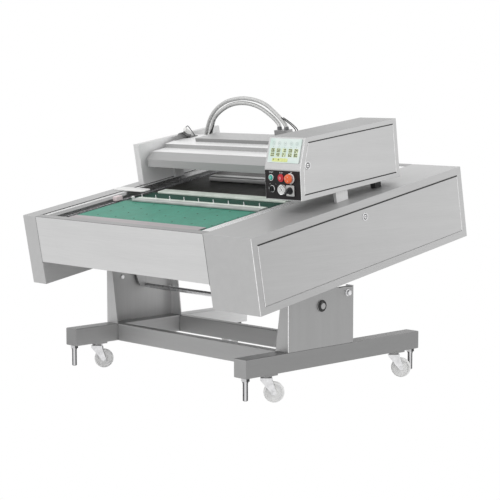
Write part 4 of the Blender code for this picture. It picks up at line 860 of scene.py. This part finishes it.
def letters(text, size, place, body, name, material):
    """Raised print of a plain word, centred on its place."""
    curve = bpy.data.curves.new(name, "FONT")
    curve.body = text
    curve.size = size
    curve.extrude = 0.00006
    curve.resolution_u = 3
    curve.align_x = "CENTER"
    curve.align_y = "CENTER"
    holder = put(name, curve)
    bpy.context.view_layer.update()
    graph = bpy.context.evaluated_depsgraph_get()
    mesh = bpy.data.meshes.new_from_object(holder.evaluated_get(graph))
    bpy.data.objects.remove(holder)
    mesh.transform(place)
    mesh.materials.clear()
    mesh.materials.append(material)
    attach(put(name, mesh), body)


def build_controls():
    """Rings, marks, handles and labels on the control plate."""
    face = CONTROL_TOP + CLEARANCE
    ring_parts = [
        (bezel(0.0145, 0.0106, 0.0040), at(*GREEN_AT, face)),
        (bezel(0.0145, 0.0106, 0.0050), at(*STOP_AT, face)),
        (bezel(0.0150, 0.0124, 0.0030), at(*SELECTOR_AT, face)),
    ]
    settle("button_rings", merge(ring_parts), chrome, "table", CONTROL)
    red_ring = bezel(0.0165, 0.0106, 0.0050)
    settle("stop_button_ring", red_ring, red_plastic, "table", CONTROL @ at(*RED_AT, face))
    collar = bezel(0.0220, 0.0150, 0.0030)
    settle("stop_collar", collar, white_plastic, "table", CONTROL @ at(*STOP_AT, face))
    cap = CONTROL_TOP + 0.0081
    mark = slab(rounded(-0.0012, 0.0012, -0.0048, 0.0048, 0.0008), 0, MARK_THICK)
    settle("start_mark", mark, white_ink, "start_button", CONTROL @ at(*GREEN_AT, cap))
    mark = lathe(((0.0036, 0), (0.0048, 0), (0.0048, MARK_THICK), (0.0036, MARK_THICK)), 32, True)
    settle("stop_mark", mark, white_ink, "stop_button", CONTROL @ at(*RED_AT, cap))
    outline = ((0.0, 0.0028), (0.0052, 0.0), (0.0, -0.0028), (0.0016, 0.0))
    arrows = [
        (slab(outline, 0, MARK_THICK), Matrix.Rotation(math.radians(turn), 4, "Z") @ at(0.0025, 0.0075, 0))
        for turn in (0, 120, 240)
    ]
    stop_top = CONTROL @ at(*STOP_AT, 0.0254)
    settle("stop_arrows", merge(arrows), white_ink, "emergency_stop", stop_top)
    selector = CONTROL @ at(*SELECTOR_AT, 0)
    handle = slab(rounded(-0.0032, 0.0032, -0.0110, 0.0110, 0.0022), 0.0167, 0.0222, 0.0012)
    settle("selector_handle", handle, black, "selector_switch", selector)
    line = slab(rounded(-0.0007, 0.0007, 0.0015, 0.0098, 0.0005), 0.0223, 0.0225)
    settle("selector_line", line, white_ink, "selector_switch", selector)
    build_gauge()
    build_switch()
    labels = (
        ("START", 0.524, 0.1145, 0.0080), ("STOP", 0.5805, 0.1140, 0.0085), ("OFF", 0.6400, 0.1180, 0.0070),
        ("0", 0.5135, 0.0655, 0.0072), ("1", 0.5480, 0.0655, 0.0072), ("ON", 0.6340, 0.0675, 0.0050),
    )
    for index, (text, x, y, size) in enumerate(labels):
        letters(text, size, CONTROL @ at(x, y, face), "table", f"control_label_{index + 1}", white_ink)


def build_gauge():
    """The gauge's bezel, scale and needle."""
    place = CONTROL @ at(*GAUGE_AT, 0.0126)
    hole, rim = 0.0190, 0.0214
    ring = ((hole, 0.0), (rim, -0.0015), (rim, 0.0010), (0.0204, 0.0020), (hole, 0.0014))
    settle("gauge_rim", lathe(ring, 48, True), chrome, "table", place)
    ticks = []
    for index in range(25):
        angle = math.radians(225 - 270 * index / 24)
        inner = 0.0126 if index % 4 else 0.0112
        tick = slab(rounded(-0.0004, 0.0004, inner, 0.0146, 0.00015, 2), CLEARANCE, MARK_THICK)
        ticks.append((tick, Matrix.Rotation(angle - math.pi / 2, 4, "Z")))
    settle("gauge_scale", merge(ticks), ink, "table", place)
    outline = ((-0.0009, -0.0045), (0.0009, -0.0045), (0.0003, 0.0125), (-0.0003, 0.0125))
    needle = slab(outline, 0.0006, 0.0010)
    hub = lathe(((0.0018, 0.0001), (0.0018, 0.0014), (0.0010, 0.0018)), 20)
    swing = Matrix.Rotation(math.radians(28), 4, "Z")
    settle("gauge_needle", merge([(needle, swing), (hub, swing)]), black, "table", place)
    for index in range(7):
        angle = math.radians(225 - 45 * index)
        spot = place @ at(0.0092 * math.cos(angle), 0.0092 * math.sin(angle), 0.0002)
        letters(str(index), 0.0030, spot, "table", f"gauge_number_{index}", ink)


def build_switch():
    """The main switch's light square with its scale, and the handle on the knob."""
    outer = rounded(-0.0225, 0.0225, -0.0225, 0.0225, 0.003, 7)
    count = len(outer)
    start = math.atan2(outer[0][1], outer[0][0])
    angles = [start + 2 * math.pi * i / count for i in range(count)]
    inner = [(0.0156 * math.cos(angle), 0.0156 * math.sin(angle)) for angle in angles]
    low, high = 0.0054, 0.0070
    rims = ((outer, low), (outer, high), (inner, high), (inner, low))
    plate = solid([[(x, y, z) for x, y in outline] for outline, z in rims], True)
    place = CONTROL @ at(*SWITCH_AT, 0)
    settle("switch_square", plate, grey_plastic, "table", place)
    handle = slab(rounded(-0.0040, 0.0040, -0.0135, 0.0135, 0.0030), 0.0240, 0.0290, 0.0014)
    turn = Matrix.Rotation(math.radians(-35), 4, "Z")
    settle("switch_handle", handle, black, "main_switch", place @ turn)


build_controls()


# Screen print

SEGMENTS = {"0": "abcdef", "1": "bc", "2": "abged", "4": "fgbc", "6": "afgedc", "8": "abcdefg"}


def digit(character, width, height, thick):
    """Bars of a seven-bar number, centred on the origin."""
    x, y = width / 2, height / 2
    bars = {
        "a": (-x, x, y - thick, y), "g": (-x, x, -thick / 2, thick / 2), "d": (-x, x, -y, -y + thick),
        "f": (-x, -x + thick, thick * 0.2, y), "b": (x - thick, x, thick * 0.2, y),
        "e": (-x, -x + thick, -y, -thick * 0.2), "c": (x - thick, x, -y, -thick * 0.2),
    }
    return [slab(rounded(*bars[key], thick * 0.25, 1), 0, 0.00012) for key in SEGMENTS[character]]


def build_screen():
    """Windows in a pale colour painted as lit, numbers and simple signs on the screen."""
    face = SCREEN_TOP + CLEARANCE
    print_level = face + PRINT_THICK
    windows, numbers, signs = [], [], []
    columns = (0.5200, 0.5520, 0.5860, 0.6215, 0.6540)
    rows = ((0.0790, ("06", "02", "10", "08", "04")), (0.0605, ("00", "42", "21", "60", "80")))
    for row, texts in rows:
        for x, text in zip(columns, texts):
            outline = rounded(x - 0.0122, x + 0.0122, row - 0.0085, row + 0.0085, 0.004, 4)
            windows.append((slab(outline, 0, PRINT_THICK), at(0, 0, face)))
            for shift, character in ((-0.0048, text[0]), (0.0048, text[1])):
                for bar in digit(character, 0.0078, 0.0140, 0.0026):
                    numbers.append((bar, at(x + shift, row, print_level)))
    settle("screen_windows", merge(windows), halo, "table", SCREEN)
    patch = slab(rounded(0.5225, 0.6130, 0.0310, 0.0460, 0.004, 4), 0, PRINT_THICK)
    settle("screen_patch", patch, lime, "table", SCREEN @ at(0, 0, face))
    for x in (0.531, 0.560):
        mark = lathe(((0.0018, 0), (0.0036, 0), (0.0036, 0.0001), (0.0018, 0.0001)), 16, True)
        numbers.append((mark, at(x, 0.0400, print_level)))
    for index, x in enumerate(columns):
        sign = at(x, 0.1080, face)
        ring = ((0.0070, 0), (0.0080, 0), (0.0080, PRINT_THICK), (0.0070, PRINT_THICK))
        signs.append((lathe(ring, 28, True), sign))
        if index % 2:
            for across, up in ((0.0035, 0.0006), (0.0006, 0.0035)):
                signs.append((slab(rounded(-across, across, -up, up, 0.0004, 1), 0, PRINT_THICK), sign))
        else:
            signs.append((lathe(((0.0024, 0), (0.0024, PRINT_THICK)), 16), sign))
        mark = slab(rounded(-0.0015, 0.0015, -0.0020, 0.0020, 0.0008, 2), 0, PRINT_THICK)
        signs.append((mark, at(x, 0.0925, face)))
    settle("screen_numbers", merge(numbers), ink, "table", SCREEN)
    settle("screen_signs", merge(signs), grey_ink, "table", SCREEN)


build_screen()


# Lid fittings and the small parts by the left rail

def build_lid_fittings():
    """The ribbed plug with its wire bail, the plate and cables beside the hoses."""
    ribs = []
    for index in range(9):
        z = 0.0044 * index
        ribs += [(0.0105, z), (0.0105, z + 0.0026), (0.0088, z + 0.0028), (0.0088, z + 0.0042)]
    place = DECK @ at(-0.606, 0.308, 0.2215) @ Matrix.Rotation(math.radians(-128), 4, "X")
    settle("ribbed_plug", lathe(ribs, 24), white_plastic, "lid", place)
    plug_x = -0.606
    bail = smooth_path([
        (plug_x, 0.300, 0.2085), (plug_x, 0.3155, 0.2255), (plug_x, 0.328, 0.2330), (plug_x, 0.336, 0.2290),
        (plug_x, 0.352, 0.2060), (plug_x, 0.368, 0.1800), (plug_x, 0.3720, 0.1765),
    ], CABLE_STEP)
    settle("plug_bail", tube(bail, 0.0022, 10), dark_chrome, "lid", DECK)
    wire = smooth_path([
        (-0.617, 0.296, 0.2060), (-0.612, 0.312, 0.1900), (plug_x, 0.330, 0.1775), (plug_x, 0.352, 0.1762),
    ], CABLE_STEP)
    settle("plug_wire", tube(wire, 0.0018, 10), rubber, "lid", DECK)
    base = slab(rounded(-0.6225, -0.592, 0.322, 0.378, 0.004), 0.1753, 0.1785, 0.0008)
    settle("plug_base", base, dark_chrome, "lid", DECK)
    cable = smooth_path([
        (-0.6475, 0.432, 0.120), (-0.625, 0.430, 0.122), (-0.600, 0.432, 0.135), (-0.575, 0.438, 0.165),
        (-0.553, 0.444, 0.200), (-0.533, 0.446, 0.236), (-0.515, 0.444, 0.258),
    ], CABLE_STEP)
    settle("hose_cable", tube(cable, 0.0040, 14), rubber, "table", DECK)
    leads = []
    for shift in (0.0, 0.014):
        lead = smooth_path([
            (0.030 + shift, 0.350, 0.282), (0.060 + shift, 0.350, 0.266), (0.092 + shift, 0.350, 0.246),
            (0.112 + shift, 0.350, 0.226), (0.118 + shift, 0.350, 0.192),
        ], CABLE_STEP)
        leads.append((tube(lead, 0.0024, 10), HERE))
    settle("valve_leads", merge(leads), rubber, "lid", DECK)


build_lid_fittings()


def build_left_parts():
    """The light bridge across the left rail, the clip and the knob beside the belt, and the rail's seam."""
    bridge_plate = slab(rounded(-0.735, -0.508, -0.088, -0.032, 0.020, 6), 0.0003, 0.0048, 0.0016)
    settle("left_bridge_plate", bridge_plate, white_plastic, "table", DECK)
    clip = slab(rounded(-0.598, -0.566, -0.206, -0.164, 0.008, 5), -0.0185, 0.0010, 0.0040)
    settle("left_clip", clip, pink_plastic, "table", DECK)
    knob = lathe(((0.0070, 0.0), (0.0080, 0.004), (0.0080, 0.009), (0.0050, 0.012)), 24)
    settle("left_knob", knob, white_plastic, "table", DECK @ at(-0.486, -0.170, -0.0095))
    seam = [(-0.6577, -0.585, -0.0012), (-0.6577, 0.640, -0.0012)]
    beads("left_rail_seam", [seam], 0.0016, rubber, "table", DECK)


build_left_parts()


# Floor, light and camera

def seen_directly(tree):
    """Return 1 for rays that show the background: straight, mirrored or passing through."""
    path = add(tree, "ShaderNodeLightPath")
    total = path.outputs["Is Camera Ray"]
    for kind in ("Is Glossy Ray", "Is Transmission Ray"):
        both = add(tree, "ShaderNodeMath", operation="MAXIMUM")
        tree.links.new(total, both.inputs[0])
        tree.links.new(path.outputs[kind], both.inputs[1])
        total = both.outputs[0]
    return total


def show_white(tree, lit, white, out):
    """Show white to the rays that see the background and the lit look to all other light."""
    mix = add(tree, "ShaderNodeMixShader")
    tree.links.new(seen_directly(tree), mix.inputs[0])
    tree.links.new(lit.outputs[0], mix.inputs[1])
    tree.links.new(white.outputs[0], mix.inputs[2])
    tree.links.new(mix.outputs[0], out.inputs["Surface"])


def build_floor():
    """A pale floor that shows as white and lights the underside softly."""
    reach = 60
    mesh = bpy.data.meshes.new("floor")
    data = bmesh.new()
    corners = ((-reach, -reach), (reach, -reach), (reach, reach), (-reach, reach))
    data.faces.new([data.verts.new((x, y, 0)) for x, y in corners])
    data.to_mesh(mesh)
    data.free()
    floor = put("floor", mesh)
    material = bpy.data.materials.new("floor_pale")
    material.use_nodes = True
    tree = material.node_tree
    tree.nodes.clear()
    out = add(tree, "ShaderNodeOutputMaterial")
    soft = add(tree, "ShaderNodeBsdfDiffuse", {"Color": (0.82, 0.82, 0.82, 1)})
    white = add(tree, "ShaderNodeEmission", {"Color": (1, 1, 1, 1), "Strength": 1.0})
    show_white(tree, soft, white, out)
    mesh.materials.append(material)


def build_world():
    """White behind the object and in its mirrors, and a softer studio sky for the light."""
    world = bpy.data.worlds.new("studio")
    bpy.context.scene.world = world
    world.use_nodes = True
    tree = world.node_tree
    tree.nodes.clear()
    out = add(tree, "ShaderNodeOutputWorld")
    studio = add(tree, "ShaderNodeBackground", {"Color": (1, 1, 1, 1), "Strength": 0.85})
    white = add(tree, "ShaderNodeBackground", {"Color": (1, 1, 1, 1), "Strength": 1.0})
    show_white(tree, studio, white, out)


def lamp(name, place, target, size, power):
    """A square soft light that points at a target."""
    data = bpy.data.lights.new(name, "AREA")
    data.shape = "SQUARE"
    data.size = size
    data.energy = power
    light = put(name, data)
    light.location = place
    direction = Vector(target) - Vector(place)
    light.rotation_euler = direction.to_track_quat("-Z", "Y").to_euler()


def build_camera():
    """The photograph's camera."""
    data = bpy.data.cameras.new("camera")
    data.sensor_width = 36.0
    data.lens = 113.167
    data.clip_end = 200.0
    camera = put("camera", data)
    camera.location = (5.1555, -4.9651, 1.3398)
    camera.rotation_euler = (math.radians(83.826), 0, math.radians(45.826))
    bpy.context.scene.camera = camera


build_floor()
build_world()
lamp("key_light", (-2.5, -3.5, 4.0), (0, 0, 0.7), 3.0, 40.0)
lamp("side_light", (5.0, 1.5, 3.2), (0, 0, 0.6), 3.0, 25.0)
lamp("back_light", (-2.0, 4.0, 3.5), (0, 0, 0.8), 2.5, 5.0)
build_camera()

view = bpy.context.scene.view_settings
view.view_transform = "Standard"
